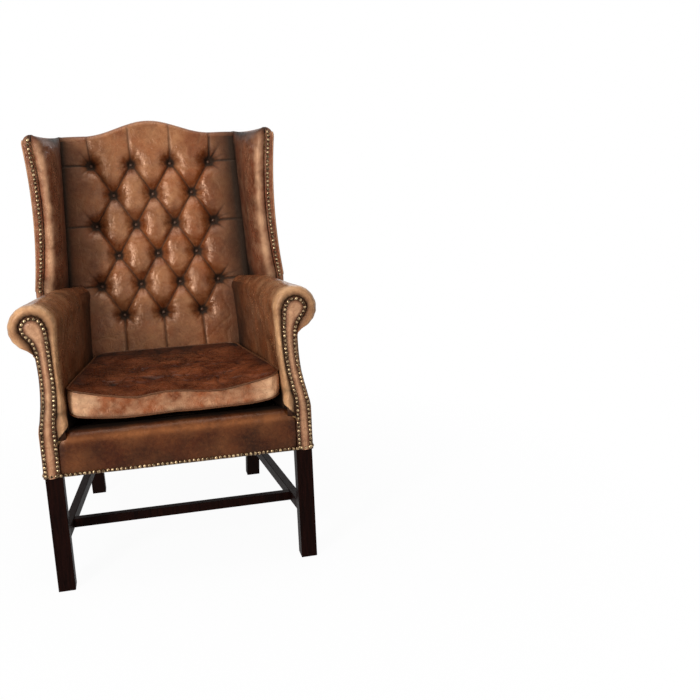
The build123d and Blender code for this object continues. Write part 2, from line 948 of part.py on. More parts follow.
upright_levels = []
for z, outer, seam, front in wing_levels:
    z = min(max(z, roll_foot_z), wing_top - wing_padding_top - top_rail_height)
    x_front = outer - cover - upright_inset
    width = outer - cover - seam - 2 * upright_inset
    lean = (outer - rear_half - cover) / (back_y(z, post_front) - front)
    y = front + upright_inset
    x_back = x_front - lean * upright_depth
    points = [
        (x_front - width, y, z),
        (x_front, y, z),
        (x_back, y + upright_depth, z),
        (x_back - width, y + upright_depth, z),
    ]
    upright_levels.append(polygon(points))
arm_rail -= wing_guard
both("arm_rail", arm_rail)
upright = loft(upright_levels, ruled=True) - arm_rail - wing_guard
top_level = wing_levels[-1]
top_rail_z = wing_top - wing_padding_top - top_rail_height
top_rail_x = top_level[1] - cover - upright_inset
top_rail_y = top_level[3] + upright_inset
top_rail_back = back_y(top_rail_z, post_front) + overrun
top_rail = plan_prism(
    [
        (top_rail_x - top_rail_width, top_rail_y),
        (top_rail_x, top_rail_y),
        (rear_half - upright_inset, top_rail_back),
        (rear_half - upright_inset - top_rail_width, top_rail_back),
    ],
    top_rail_z,
    top_rail_height,
)
top_rail = top_rail - behind - wing_guard
both("wing_upright", upright)
both("wing_top_rail", top_rail)
wing_pad = wing_form - wing_guard - upright - top_rail - arm_form - arm_rail - on_back(wrap)
wing_solids = sorted(wing_pad.solids(), key=lambda s: s.volume)
wing_pad = wing_solids[-1]
arm_straps = [strap for strap in level_straps[:2]]
arm_pad = arm_form - stump - arm_rail - panel - upright - facing_well
arm_pad = arm_pad.cut(*arm_straps)
both("arm_pad", arm_pad)
both("wing_pad", wing_pad)
padding = on_back(padding) - arm_form - mirror(arm_form, about=Plane.YZ)
pieces["tufted_back"] = padding

# Padded front edge of the seat, from the lower edge of the leather over the rail
apron_half = strip_inner - clearance
apron = prism(
    [
        (-apron_half, -border_padding, apron_bottom),
        (-apron_half, rail_setback, apron_bottom),
        (-apron_half, rail_setback, rail_top),
        (-apron_half, -border_padding, rail_top),
    ],
    (2 * apron_half, 0, 0),
)
lip_half = mix(inner_front, inner_foot, lip_depth / wing_foot_y) - clearance
lip_reach = (lip_top - rail_top) * 2
lip_face = outline(
    [
        (-lip_half, -border_padding, rail_top),
        (-lip_half, lip_reach - border_padding, lip_top),
        (-lip_half, lip_depth, lip_top),
        (-lip_half, lip_depth, rail_top),
    ],
    {0: (-lip_half, lip_reach * lip_share - border_padding, mix(rail_top, lip_top, lip_rise_share))},
)
lip = extrude(lip_face, amount=2 * lip_half, dir=(1, 0, 0))
left_front_leg = mirror(front_leg, about=Plane.YZ)
pieces["front_border"] = (apron - front_leg - left_front_leg - front_rail) + lip

# Cloth under the seat and webbing on the underside of the rails
frame_front_y = rail_setback
frame_back_y = back_y(rail_top, (post_front + post_rear) / 2)
cloth_front_x = leg_inner - clearance
cloth_back_y = back_y(apron_bottom, post_front) - clearance
cloth_points = [
    (-cloth_front_x, frame_front_y),
    (cloth_front_x, frame_front_y),
    (cloth_front_x, front_leg_side + clearance),
    (side_x(front_leg_side) - clearance, front_leg_side + clearance),
    (side_x(cloth_back_y) - clearance, cloth_back_y),
    (rear_inner - clearance, cloth_back_y),
    (rear_inner - clearance, frame_back_y),
]
cloth_points += [(-x, y) for x, y in reversed(cloth_points[2:])]
pieces["bottom_cloth"] = plan_prism(cloth_points, apron_bottom, dust_cloth)
strap_level = apron_bottom + dust_cloth
across, lengthways = [], []
for row in range(spring_rows):
    y = first_spring_y + row * spring_pitch_y
    reach = side_x(y + strap_width / 2) - clearance
    points = [
        (-reach, y - strap_width / 2),
        (reach, y - strap_width / 2),
        (reach, y + strap_width / 2),
        (-reach, y + strap_width / 2),
    ]
    across.append(plan_prism(points, strap_level, webbing))
for column in range(spring_columns):
    x = (column - (spring_columns - 1) / 2) * spring_pitch_x
    points = [
        (x - strap_width / 2, frame_front_y),
        (x + strap_width / 2, frame_front_y),
        (x + strap_width / 2, frame_back_y),
        (x - strap_width / 2, frame_back_y),
    ]
    lengthways.append(plan_prism(points, strap_level + webbing, webbing))
pieces["seat_webbing"] = Compound(across + lengthways)


# Each spring as the waisted outline of its coil, which is hidden in the seat
spring_flare = math.degrees(math.atan2(spring_radius - spring_waist, spring_height / 2))
half_coil = extrude(
    RegularPolygon(spring_radius, spring_sides), amount=spring_height / 2, taper=spring_flare
)
coil = half_coil + mirror(half_coil, about=Plane.XY.offset(spring_height / 2))
springs = []
for row in range(spring_rows):
    for column in range(spring_columns):
        x = (column - (spring_columns - 1) / 2) * spring_pitch_x
        springs.append(Pos(x, first_spring_y + row * spring_pitch_y, rail_bottom) * coil)
pieces["seat_springs"] = Compound(springs)


# Hessian, stuffing and cover of the sprung seat, between the arms
def deck_x(y):
    """Half the width of the seat filling at depth y: the inner faces of the arms."""
    if y < wing_foot_y:
        return mix(inner_front, inner_foot, y / wing_foot_y)
    return mix(inner_foot, inner_rear, (y - wing_foot_y) / (arm_end_y - wing_foot_y))


hessian_z = rail_bottom + spring_height
deck_front_y = lip_depth + clearance
deck_back_y = back_y(hessian_z, puff * bottom_end_share + pleat_rise) - clearance
deck_middle_y = (deck_front_y + deck_back_y) / 2
deck_places = [
    (deck_front_y, deck_front_crown),
    (deck_middle_y, deck_crown),
    (deck_back_y, deck_back_crown),
]


def crowned(y, low, side, crown, half):
    """Upright slice across the seat with a crowned top."""
    return soft_outline(
        [(-half, y, low), (half, y, low), (half, y, side), (-half, y, side)],
        {2: (0, y, side + crown)},
        cloth_sides,
    )


deck_edge = inner_hollow + clearance
pieces["seat_hessian"] = plan_prism(
    [
        (-deck_x(deck_front_y) + deck_edge, deck_front_y),
        (deck_x(deck_front_y) - deck_edge, deck_front_y),
        (deck_x(deck_back_y) - deck_edge, deck_back_y),
        (-deck_x(deck_back_y) + deck_edge, deck_back_y),
    ],
    hessian_z,
    hessian,
)
filling_low = hessian_z + hessian


def deck_shape(side):
    """The seat filling up to a cover whose sides are at the height side."""
    return skin([crowned(y, filling_low, side, c, deck_x(y) - deck_edge) for y, c in deck_places])


stuffing = deck_shape(deck_side_z - cover)
deck_form = deck_shape(deck_side_z)
pieces["seat_stuffing"] = stuffing
pieces["deck_cover"] = deck_form - stuffing

# Loose cushion: a crowned and sagging slab trimmed by its drawn-in sides
cushion_middle_y = (cushion_front_y + cushion_back_y) / 2
slab_half = inner_front
front_top = cushion_bottom + border_height
slab_places = [
    (cushion_front_y - cushion_bulge, corner_lift, front_top + corner_lift, -front_sag),
    (cushion_middle_y, middle_lift, front_top + middle_lift - cushion_back_fall / 2, cushion_crown),
    (cushion_back_y + cushion_bulge, back_lift, front_top - cushion_back_fall, back_lift),
]
slab_sections = []
for y, lift, side, crown in slab_places:
    slab_sections.append(
        soft_outline(
            [
                (-slab_half, y, cushion_bottom + lift),
                (slab_half, y, cushion_bottom + lift),
                (slab_half, y, side),
                (-slab_half, y, side),
            ],
            {0: (0, y, cushion_bottom), 2: (0, y, side + crown)},
            crown_sides,
        )
    )
slab = skin(slab_sections)


def cushion_plan(z, inset):
    """Level outline of the cushion, its sides following the arms."""
    front, back = cushion_front_y + inset, cushion_back_y - inset
    side = cushion_gap + inset
    points = [
        (-deck_x(front) + side, front, z),
        (deck_x(front) - side, front, z),
        (deck_x(back) - side, back, z),
        (-deck_x(back) + side, back, z),
    ]
    face = polygon(points)
    return face.fillet_2d(cushion_corner_radius, face.vertices())


cushion_low = cushion_bottom - border_height
cushion_high = front_top + border_height
cushion_sides = loft(
    [
        cushion_plan(cushion_low, 2 * cushion_bulge),
        cushion_plan((cushion_low + cushion_high) / 2, 0),
        cushion_plan(cushion_high, 2 * cushion_bulge),
    ],
    ruled=True,
)
pieces["seat_cushion"] = slab & cushion_sides

# The origin is in the middle of the footprint, on the floor
whole = Compound([solid for shape in pieces.values() for solid in shape.solids()])
box = whole.bounding_box()
origin = Pos(-(box.min.X + box.max.X) / 2, -(box.min.Y + box.max.Y) / 2, -box.min.Z)
print("size", box.size, "middle", (box.min.Y + box.max.Y) / 2)
for name, shape in pieces.items():
    export_step(origin * shape, f"parts/{name}.step")
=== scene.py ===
"""A deep buttoned leather wing armchair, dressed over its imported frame.

Sizes are in millimetres with y counted from the front of the legs to the back, as an upholsterer measures the chair.
The to_row function turns them into the metres and the middle origin that the frame uses.
"""

import json
import logging
import math
from dataclasses import dataclass, field
from enum import Enum
from typing import Optional, Sequence, Union

import bmesh
import bpy
import numpy as np
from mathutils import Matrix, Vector, noise

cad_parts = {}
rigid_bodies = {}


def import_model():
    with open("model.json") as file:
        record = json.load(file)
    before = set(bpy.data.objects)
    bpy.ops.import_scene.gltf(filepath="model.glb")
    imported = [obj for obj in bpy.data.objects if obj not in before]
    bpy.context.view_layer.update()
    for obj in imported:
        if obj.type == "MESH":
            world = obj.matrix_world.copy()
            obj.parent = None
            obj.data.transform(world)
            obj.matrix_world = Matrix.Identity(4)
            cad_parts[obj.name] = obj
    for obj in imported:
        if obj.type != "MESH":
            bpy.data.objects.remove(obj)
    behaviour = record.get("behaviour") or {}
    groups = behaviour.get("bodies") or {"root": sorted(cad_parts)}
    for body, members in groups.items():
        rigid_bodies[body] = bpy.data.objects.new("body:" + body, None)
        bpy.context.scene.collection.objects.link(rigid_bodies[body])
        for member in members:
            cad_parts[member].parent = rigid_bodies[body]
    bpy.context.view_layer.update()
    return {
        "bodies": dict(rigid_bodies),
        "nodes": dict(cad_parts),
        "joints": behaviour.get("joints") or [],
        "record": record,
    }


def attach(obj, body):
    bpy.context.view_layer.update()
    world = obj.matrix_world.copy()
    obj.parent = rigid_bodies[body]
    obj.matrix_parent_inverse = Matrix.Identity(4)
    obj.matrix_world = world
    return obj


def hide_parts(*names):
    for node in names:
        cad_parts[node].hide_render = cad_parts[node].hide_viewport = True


log = logging.getLogger("armchair")

Array = np.ndarray
Number = Union[float, Array]
Table = tuple[tuple[float, ...], ...]
Faces = list[tuple[int, ...]]
Layers = dict[str, Array]
Inputs = dict[Union[str, int], object]
Material, Object, Socket = bpy.types.Material, bpy.types.Object, bpy.types.NodeSocket
MIDDLE_Y = 373.2913  # from the front of the legs to the middle of the chair
FORWARD = np.array([0.0, -1.0, 0.0])  # the way the chair faces


class Side(Enum):
    """A side of the chair, as seen from its front."""

    RIGHT = 1
    LEFT = -1

    @property
    def word(self) -> str:
        """The side's name in node names."""
        return self.name.lower()


class Body(Enum):
    """The bodies that move as one."""

    CHAIR = "chair"
    CUSHION = "cushion"


# ---------------------------------------------------------------- plain helpers


def to_row(points: Array) -> Array:
    """Turns millimetres from the front of the legs into the frame's metres.

    Args:
        points: rows of x, y, z in millimetres.

    Returns:
        Rows of x, y, z in metres.
    """
    moved = np.array(points, float).reshape(-1, 3)
    moved[:, 1] -= MIDDLE_Y
    return moved / 1000.0


def mix(start: Number, end: Number, share: Number) -> Number:
    """A value part of the way from start to end."""
    return start + (end - start) * share


def smooth(low: float, high: float, value: Number) -> Number:
    """Runs softly from 0 at low to 1 at high."""
    t = np.clip((value - low) / (high - low), 0.0, 1.0)
    return t * t * (3 - 2 * t)


def hex_to_linear(code: str) -> tuple[float, float, float, float]:
    """Turns an sRGB hex colour into linear red, green, blue and an alpha of 1.

    Args:
        code: six hex digits after a hash.

    Returns:
        The linear colour.
    """
    values = [int(code[i : i + 2], 16) / 255 for i in (1, 3, 5)]
    linear = [v / 12.92 if v <= 0.04045 else ((v + 0.055) / 1.055) ** 2.4 for v in values]
    return (*linear, 1.0)


def grid_faces(rows: int, columns: int, closed: bool = False) -> Faces:
    """Quads over a grid of points stored row by row.

    Args:
        rows: rows of points.
        columns: points in a row.
        closed: joins the last column to the first.

    Returns:
        The quads as point numbers.
    """
    faces = []
    for r in range(rows - 1):
        for c in range(columns if closed else columns - 1):
            n = (c + 1) % columns
            faces.append((r * columns + c, r * columns + n, (r + 1) * columns + n, (r + 1) * columns + c))
    return faces


def skin_faces(rows: int, columns: int, flip: bool = False) -> Faces:
    """Faces of a closed skin over rings of points, with a cap on each end.

    Args:
        rows: how many rings.
        columns: points in a ring.
        flip: winds the caps the other way.

    Returns:
        The faces as point numbers.
    """
    first, last = range(columns), range((rows - 1) * columns, rows * columns)
    way = -1 if flip else 1
    return grid_faces(rows, columns, closed=True) + [tuple(first[::way]), tuple(last[::-way])]


def slab_faces(rows: int, columns: int) -> Faces:
    """Faces of a closed slab whose rows of points run out over one side and back over the other.

    Args:
        rows: rows of points.
        columns: points in a row.

    Returns:
        The faces as point numbers.
    """
    last = (rows - 1) * columns
    faces = grid_faces(rows, columns)
    faces += [(c, c + 1, last + c + 1, last + c) for c in range(columns - 1)]
    faces.append(tuple(i * columns for i in range(rows)))
    faces.append(tuple((i + 1) * columns - 1 for i in reversed(range(rows))))
    return faces


def circle(sides: int) -> Array:
    """Even turns round a circle, in radians."""
    return np.linspace(0, 2 * math.pi, sides, endpoint=False)


def hill(value: Number, middle: float, width: float) -> Number:
    """A soft hill: 1 where the value is at its middle, falling away over its width."""
    return np.exp(-(((value - middle) / width) ** 2))


def unit(value: Array) -> Array:
    """Holds values between 0 and 1."""
    return np.clip(value, 0, 1)


def at_depth(flat: Array, y: Number) -> Array:
    """Stands rows of x and z at depth y."""
    return np.stack([flat[:, 0], np.broadcast_to(y, len(flat)), flat[:, 1]], axis=1)


def looks(shade: Array, wear: Array) -> Layers:
    """The finish's two layers: painted shade, and how far the hide is worn paler, with painted highlights."""
    return {"shade": unit(shade), "wear": unit(wear)}


def add_object(name: str, data: bpy.types.ID) -> Object:
    """Puts a mesh, a lamp or a camera in the scene as an object.

    Args:
        name: the object's name.
        data: what it shows.

    Returns:
        The object.
    """
    thing = bpy.data.objects.new(name, data)
    bpy.context.scene.collection.objects.link(thing)
    return thing


def make_piece(
    name: str,
    points: Array,
    faces: Sequence[Sequence[int]],
    material: Material,
    body: Body = Body.CHAIR,
    layers: Optional[Layers] = None,
    replaces: Sequence[str] = (),
    slot: Optional[str] = None,
) -> Object:
    """Makes a smooth mesh piece that rides on a body.

    Args:
        name: the piece's name.
        points: rows of x, y, z in millimetres.
        faces: corner numbers of each face.
        material: its finish.
        body: the body it moves with.
        layers: values per point for the finish, such as the worn layer with painted highlights and the painted shade.
        replaces: frame nodes that the piece stands for.
        slot: the record's material slot; not used.

    Returns:
        The new object.
    """
    mesh = bpy.data.meshes.new(name)
    mesh.from_pydata(to_row(points).tolist(), [], [tuple(f) for f in faces])
    for key, values in (layers or {}).items():
        mesh.attributes.new(key, "FLOAT", "POINT").data.foreach_set("value", np.asarray(values, np.float32).ravel())
    work = bmesh.new()
    work.from_mesh(mesh)
    bmesh.ops.recalc_face_normals(work, faces=work.faces)
    work.to_mesh(mesh)
    work.free()
    mesh.polygons.foreach_set("use_smooth", [True] * len(mesh.polygons))
    mesh.materials.append(material)
    piece = add_object(name, mesh)
    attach(piece, body.value)
    if replaces:
        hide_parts(*replaces)
    return piece


def loft(name: str, loops: Sequence[Array], material: Material, **options: object) -> Object:
    """Makes a closed skin through loops with the same number of points.

    Args:
        name: the piece's name.
        loops: arrays of x, y, z rows.
        material: its finish.
        options: passed to make_piece.

    Returns:
        The new object.
    """
    return make_piece(name, np.vstack(loops), skin_faces(len(loops), len(loops[0]), True), material, **options)


def resample(path: Array, count: int, closed: bool = False) -> Array:
    """Even points along a path.

    Args:
        path: rows of coordinates.
        count: how many points to return.
        closed: runs back to the start.

    Returns:
        The points.
    """
    line = np.vstack([path, path[:1]]) if closed else np.asarray(path)
    steps = np.linalg.norm(np.diff(line, axis=0), axis=1)
    reach = np.concatenate([[0.0], np.cumsum(steps)])
    places = np.linspace(0, reach[-1], count + 1)[:-1] if closed else np.linspace(0, reach[-1], count)
    return np.stack([np.interp(places, reach, line[:, i]) for i in range(line.shape[1])], axis=1)


def wrinkle(points: Array, size: float, seed: float = 0.0) -> Array:
    """Ridged noise over points: 0 in the flats and 1 on sharp crease lines.

    Args:
        points: rows in millimetres.
        size: spacing of the creases.
        seed: picks another pattern.

    Returns:
        One value a point.
    """
    values = [noise.noise(Vector((p[0] / size + seed, p[1] / size, p[2] / size))) for p in np.asarray(points)]
    return unit(1 - np.abs(np.array(values)) * 5)


def blotch(points: Array, size: float, seed: float = 0.0) -> Array:
    """Soft noise over points, about -1 to 1."""
    return np.array([noise.noise(Vector((p[0] / size + seed, p[1] / size, p[2] / size))) for p in np.asarray(points)])


def tube(
    name: str,
    path: Array,
    radius: float,
    material: Material,
    body: Body = Body.CHAIR,
    closed: bool = False,
    layers: Optional[dict[str, float]] = None,
) -> Object:
    """A round cord, such as piping, along a path.

    Args:
        name: the piece's name.
        path: rows of x, y, z.
        radius: of the cord.
        material: its finish.
        body: the body it moves with.
        closed: joins the ends.
        layers: one value for each finish layer.

    Returns:
        The new object.
    """
    line = np.asarray(path, float)
    sides = 8
    if closed:
        tangent = np.roll(line, -1, axis=0) - np.roll(line, 1, axis=0)
    else:
        tangent = np.gradient(line, axis=0)
    tangent /= np.linalg.norm(tangent, axis=1)[:, None] + 1e-9
    normal = np.cross(tangent[0], [0.3, 0.2, 0.93])
    rings = []
    for point, along in zip(line, tangent):
        normal = normal - along * normal.dot(along)
        normal /= np.linalg.norm(normal) + 1e-9
        other = np.cross(along, normal)
        turns = circle(sides)
        rings.append(point + radius * (np.cos(turns)[:, None] * normal + np.sin(turns)[:, None] * other))
    if closed:
        rings.append(rings[0])
    points = np.vstack(rings)
    faces = grid_faces(len(rings), sides, closed=True) if closed else skin_faces(len(rings), sides, flip=True)
    values = {key: np.full(len(points), value) for key, value in (layers or {}).items()}
    return make_piece(name, points, faces, material, body, layers=values)


# ---------------------------------------------------------------- the chair's sizes


@dataclass
class ChairShape:
    """The leading sizes of the chair, the same as in its solid model."""

    front_half: float = 332
    rear_half: float = 270
    leg_side: float = 42
    apron_bottom: float = 304
    rail_top: float = 384.5
    rail_height: float = 76
    cover: float = 2.5
    recline: float = 11.5
    button_y: float = 578
    button_z: float = 587
    row_pitch: float = 90
    button_pitch: float = 116
    button_rows: int = 6
    pad_depth: float = 22
    post_depth: float = 36
    webbing: float = 1.5
    wall_inset: float = 6
    wall_z: float = 770
    wall_lean: float = 0.03
    shoulder_top: float = 1114
    hump_rise: float = 40
    hump_half: float = 190
    fold_z: float = 428
    rear_bow: float = 0.5
    # the arm's depth, inner face, scroll middle x, scroll middle z and scroll radius
    arm_stations: Table = (
        (0, 269, 314, 677, 56),
        (374, 231.2, 279.2, 664, 47),
        (592, 208, 238, 652, 31),
    )

    @property
    def slope(self) -> float:
        """Lean of the back in radians."""
        return math.radians(self.recline)

    @property
    def post_front(self) -> float:
        """Front of the back posts, square to the slope."""
        return -self.pad_depth - 2 * self.webbing

    @property
    def post_rear(self) -> float:
        """Rear of the back posts, square to the slope."""
        return self.post_front - self.post_depth

    @property
    def knee_y(self) -> float:
        """Where the side rails meet the back posts."""
        return float(self.back_y(self.rail_top - self.rail_height, self.post_front))

    def back_y(self, z: Number, w: Number) -> Number:
        """Depth of the plane w in front of the buttons at height z."""
        return self.button_y + (z - self.button_z) * math.tan(self.slope) - w / math.cos(self.slope)

    def along(self, z: float) -> float:
        """Distance up the slope from the lowest buttons to height z."""
        return (z - self.button_z) / math.cos(self.slope)

    def on_back(self, x: Array, s: Array, w: Array) -> Array:
        """Points from x, up-slope and outward distances.

        Args:
            x: places across.
            s: distances up the slope.
            w: distances out from the buttons' plane.

        Returns:
            Rows of x, y, z.
        """
        y = self.button_y + s * math.sin(self.slope) - w * math.cos(self.slope)
        z = self.button_z + s * math.cos(self.slope) + w * math.sin(self.slope)
        return np.stack([x, y, z], axis=-1)

    def wall_x(self, z: Number) -> Number:
        """Half the width of the buttoned back at height z."""
        return self.rear_half - self.wall_inset - (z - self.wall_z) * self.wall_lean

    def side_x(self, y: Number) -> Number:
        """Outside of the seat frame."""
        share = unit((y - self.leg_side) / (self.knee_y - self.leg_side))
        return mix(self.front_half, self.rear_half, share)

    def arm_share(self, y: Number) -> Number:
        """How far back along the arm y is."""
        return unit(y / self.knee_y)

    def arm_station(self, y: Number) -> tuple[Array, Array, Array, Array]:
        """The arm's inner face, scroll middle x, scroll middle z and scroll radius at depth y."""
        depths, *columns = zip(*self.arm_stations)
        return tuple(np.interp(y, depths, column) for column in columns)

    def crest_s(self, x: Array) -> Array:
        """Height of the camel top up the slope at x.

        Args:
            x: places across.

        Returns:
            The distances up the slope.
        """
        side = self.along(self.shoulder_top)
        rise = self.along(self.shoulder_top + self.hump_rise) - side
        return side + rise * (0.5 + 0.5 * np.cos(unit(np.abs(x) / self.hump_half) * math.pi))

    def rows_of_buttons(self) -> list[list[tuple[float, float]]]:
        """Rows of buttons, lowest first, each button as its x and its distance up the slope.

        Returns:
            The rows.
        """
        rows = []
        for row in range(self.button_rows):
            count = 3 + row % 2
            places = ((i - (count - 1) / 2) * self.button_pitch for i in range(count))
            rows.append([(x, row * self.row_pitch) for x in places])
        return rows

    def button_places(self) -> list[tuple[float, float]]:
        """Every button, lowest row first."""
        return [place for row in self.rows_of_buttons() for place in row]


# ---------------------------------------------------------------- finishes


class Recipe:
    """A tree of shader nodes in the making."""

    def __init__(self, tree: bpy.types.NodeTree) -> None:
        """Empties the tree.

        Args:
            tree: the tree to fill.
        """
        self.tree = tree
        tree.nodes.clear()

    def fill(self, node: bpy.types.Node, inputs: Inputs) -> None:
        """Sets a node's inputs.

        Args:
            node: the node.
            inputs: for each input socket a value, or a socket to link from.
        """
        for key, value in inputs.items():
            if isinstance(value, Socket):
                self.tree.links.new(value, node.inputs[key])
            else:
                node.inputs[key].default_value = value

    def add(self, kind: str, inputs: Optional[Inputs] = None, **settings: object) -> bpy.types.Node:
        """Adds one node with its settings, values and links.

        Args:
            kind: the node's class name without its ShaderNode.
            inputs: for each input socket a value, or a socket to link from.
            settings: plain properties of the node.

        Returns:
            The node.
        """
        node = self.tree.nodes.new(f"ShaderNode{kind}")
        for key, value in settings.items():
            setattr(node, key, value)
        self.fill(node, inputs or {})
        return node

    def place(self) -> Socket:
        """The place on the object, in metres."""
        return self.add("TexCoord").outputs["Object"]

    def noise(
        self, place: Socket, size_mm: float, detail: float, roughness: float = 0.5, distortion: float = 0.0
    ) -> Socket:
        """Cloudy noise at a real spacing.

        Args:
            place: where it is read.
            size_mm: spacing of its clouds.
            detail: how many finer layers it has.
            roughness: how strong the finer layers are.
            distortion: how far it swirls.

        Returns:
            The socket that gives it.
        """
        inputs = {"Vector": place, "Scale": 1000 / size_mm, "Detail": detail, "Roughness": roughness}
        return self.add("TexNoise", {**inputs, "Distortion": distortion}).outputs[0]

    def math(self, operation: str, first: object, second: object = 0.0, clamp: bool = False) -> Socket:
        """Works one sum on values or sockets."""
        return self.add("Math", {0: first, 1: second}, operation=operation, use_clamp=clamp).outputs[0]

    def ramp(self, value: Socket, low: float, high: float, start: float = 0, end: float = 1) -> Socket:
        """Maps a value from low..high to start..end, clamped."""
        return self.add("MapRange", {0: value, 1: low, 2: high, 3: start, 4: end}).outputs[0]

    def blend(self, share: Socket, first: Union[str, Socket], second: Union[str, Socket]) -> Socket:
        """Mixes two colours, each a socket or a hex code."""
        pair = (hex_to_linear(colour) if isinstance(colour, str) else colour for colour in (first, second))
        return self.add("Mix", dict(zip((0, 6, 7), (share, *pair))), data_type="RGBA").outputs[2]

    def bump(self, height: Socket, strength: float, depth_mm: float, **below: Socket) -> Socket:
        """Raises the surface by a height, over the Normal below it where one is given."""
        inputs = {"Height": height, "Strength": strength, "Distance": depth_mm / 1000, **below}
        return self.add("Bump", inputs).outputs[0]


class Surface(Recipe):
    """The nodes of a new material, with its shader ready to be dressed."""

    def __init__(self, name: str) -> None:
        """Makes the material.

        Args:
            name: the material's name.
        """
        self.material = bpy.data.materials.new(name)
        self.material.use_nodes = True
        super().__init__(self.material.node_tree)
        self.shader = self.add("BsdfPrincipled")
        self.add("OutputMaterial", {"Surface": self.shader.outputs["BSDF"]})

    def dress(self, inputs: dict[str, object]) -> Material:
        """Sets the shader's inputs.

        Args:
            inputs: for each input a value, or a socket to link from.

        Returns:
            The material.
        """
        self.fill(self.shader, inputs)
        return self.material


@dataclass(frozen=True)
class AgedLeather:
    """Antiqued hide: aniline dyed cowhide, hand rubbed with dark wax, then worn by use.

    The dye gives a warm mottled brown. A shade layer paints shade, nearly black in folds and pits, and a worn layer
    bares the pale tan hide on edges and paints highlights. A wax polish gives a soft gloss over a fine pebbled grain.
    """

    name: str
    base: str = "#6b3f26"
    dark: str = "#3a1c0e"
    pale: str = "#a97f5c"
    # the colour that the painted shade runs to
    soot: str = "#0c0503"
    roughness: float = 0.4
    waxed_roughness: float = 0.72  # in the painted shade, where the hide is duller
    grain_mm: float = 1.6  # drawn a little coarser than real pores so that it shows
    grain_depth_mm: float = 0.25
    mottle_mm: float = 9.0
    scuff_mm: float = 26.0
    cloud_mm: float = 75.0
    crease_mm: float = 22.0
    crease_depth_mm: float = 0.5
    specular: float = 0.27  # a wax polish dulls the hide a little
    speckle: float = 0.16
    tint: str = "#ffdcc4"  # the dark wax warms what it reflects

    def build(self) -> Material:
        """Builds the node material.

        Returns:
            The material.
        """
        hide = Surface(self.name)
        place = hide.place()
        cloud = hide.noise(place, self.cloud_mm, 5.0, 0.62)
        mottle = hide.noise(place, self.mottle_mm, 4.0, 0.6)
        scuffs = hide.noise(place, self.scuff_mm, 6.0, 0.7, 0.6)
        wear, shade = (hide.add("Attribute", attribute_name=layer).outputs["Fac"] for layer in ("wear", "shade"))
        colour = hide.blend(hide.ramp(cloud, 0.33, 0.67), self.dark, self.base)
        colour = hide.blend(hide.ramp(mottle, 0.42, 0.7, 0.0, self.speckle), colour, self.pale)
        # the worn layer pales the hide where it is worn and also paints highlights
        rubbed = hide.math("MULTIPLY", wear, hide.ramp(scuffs, 0.3, 0.62, 0.55, 1.15), clamp=True)
        # painted shade: the shade layer darkens the colour towards near-black
        colour = hide.blend(shade, hide.blend(rubbed, colour, self.pale), self.soot)
        roughness_in_shade = hide.ramp(shade, 0.15, 0.8, self.roughness, self.waxed_roughness)
        grain = {"Vector": place, "Scale": 1000 / self.grain_mm}
        pores = hide.add("TexVoronoi", grain, feature="F1").outputs["Distance"]
        folds = hide.math("SUBTRACT", hide.noise(place, self.crease_mm, 3.0, 0.55, 1.2), 0.5)
        coarse = hide.bump(hide.ramp(hide.math("ABSOLUTE", folds), 0.0, 0.09), 0.55, self.crease_depth_mm)
        return hide.dress(
            {
                "Base Color": colour,
                "Roughness": hide.math("ADD", hide.ramp(scuffs, 0.3, 0.7, -0.09, 0.11), roughness_in_shade),
                "Normal": hide.bump(pores, 0.35, self.grain_depth_mm, Normal=coarse),
                "Specular IOR Level": self.specular,
                "Specular Tint": hex_to_linear(self.tint),
            }
        )


@dataclass(frozen=True)
class PolishedWood:
    """Timber planed, stained and wax polished, with its grain along one axis."""

    name: str
    base: str = "#1d0a06"
    dark: str = "#0a0302"
    roughness: float = 0.46
    specular: float = 0.03  # dark polish over open grain, duller than varnish
    grain_mm: float = 5.0
    grain_depth_mm: float = 0.4
    stretch: tuple[float, float, float] = (1.0, 1.0, 0.06)

    def build(self) -> Material:
        """Builds the node material.

        Returns:
            The material.
        """
        wood = Surface(self.name)
        stretched = wood.add("Mapping", {"Vector": wood.place(), "Scale": self.stretch}).outputs[0]
        grain = wood.noise(stretched, self.grain_mm, 6.0, 0.65, 0.8)
        return wood.dress(
            {
                "Base Color": wood.blend(wood.ramp(grain, 0.35, 0.7), self.dark, self.base),
                "Roughness": wood.ramp(grain, 0.3, 0.7, self.roughness - 0.06, self.roughness + 0.1),
                "Normal": wood.bump(grain, 0.2, self.grain_depth_mm),
                "Specular IOR Level": self.specular,
            }
        )


@dataclass(frozen=True)
class AntiqueBrass:
    """Pressed brass nail heads, chemically browned, with the high spots rubbed bright."""

    name: str = "antique_brass"
    base: str = "#b89d78"
    dark: str = "#33241a"
    roughness: float = 0.22
    tarnish_mm: float = 5.0

    def build(self) -> Material:
        """Builds the node material.

        Returns:
            The material.
        """
        brass = Surface(self.name)
        tarnish = brass.noise(brass.place(), self.tarnish_mm, 3.0)
        return brass.dress(
            {
                "Base Color": brass.blend(brass.ramp(tarnish, 0.38, 0.66), self.dark, self.base),
                "Roughness": brass.ramp(tarnish, 0.35, 0.7, self.roughness + 0.2, self.roughness),
                "Metallic": 1.0,
            }
        )


@dataclass(frozen=True)
class WovenCloth:
    """Plain woven cotton, jute or flax: over and under threads at a real spacing."""

    name: str
    base: str
    dark: str
    thread_mm: float = 2.0
    roughness: float = 0.9
    thread_depth_mm: float = 0.4

    def build(self) -> Material:
        """Builds the node material.

        Returns:
            The material.
        """
        cloth = Surface(self.name)
        # a wave texture counts its scale in radians
        waves = {"Vector": cloth.place(), "Scale": 1000 / self.thread_mm / 6.28, "Distortion": 0.6, "Detail": 1.0}
        warp, weft = (cloth.add("TexWave", waves, bands_direction=axis).outputs["Fac"] for axis in ("X", "Y"))
        woven = cloth.math("MULTIPLY", warp, weft)
        return cloth.dress(
            {
                "Base Color": cloth.blend(woven, self.dark, self.base),
                "Normal": cloth.bump(woven, 0.4, self.thread_depth_mm),
                "Roughness": self.roughness,
            }
        )


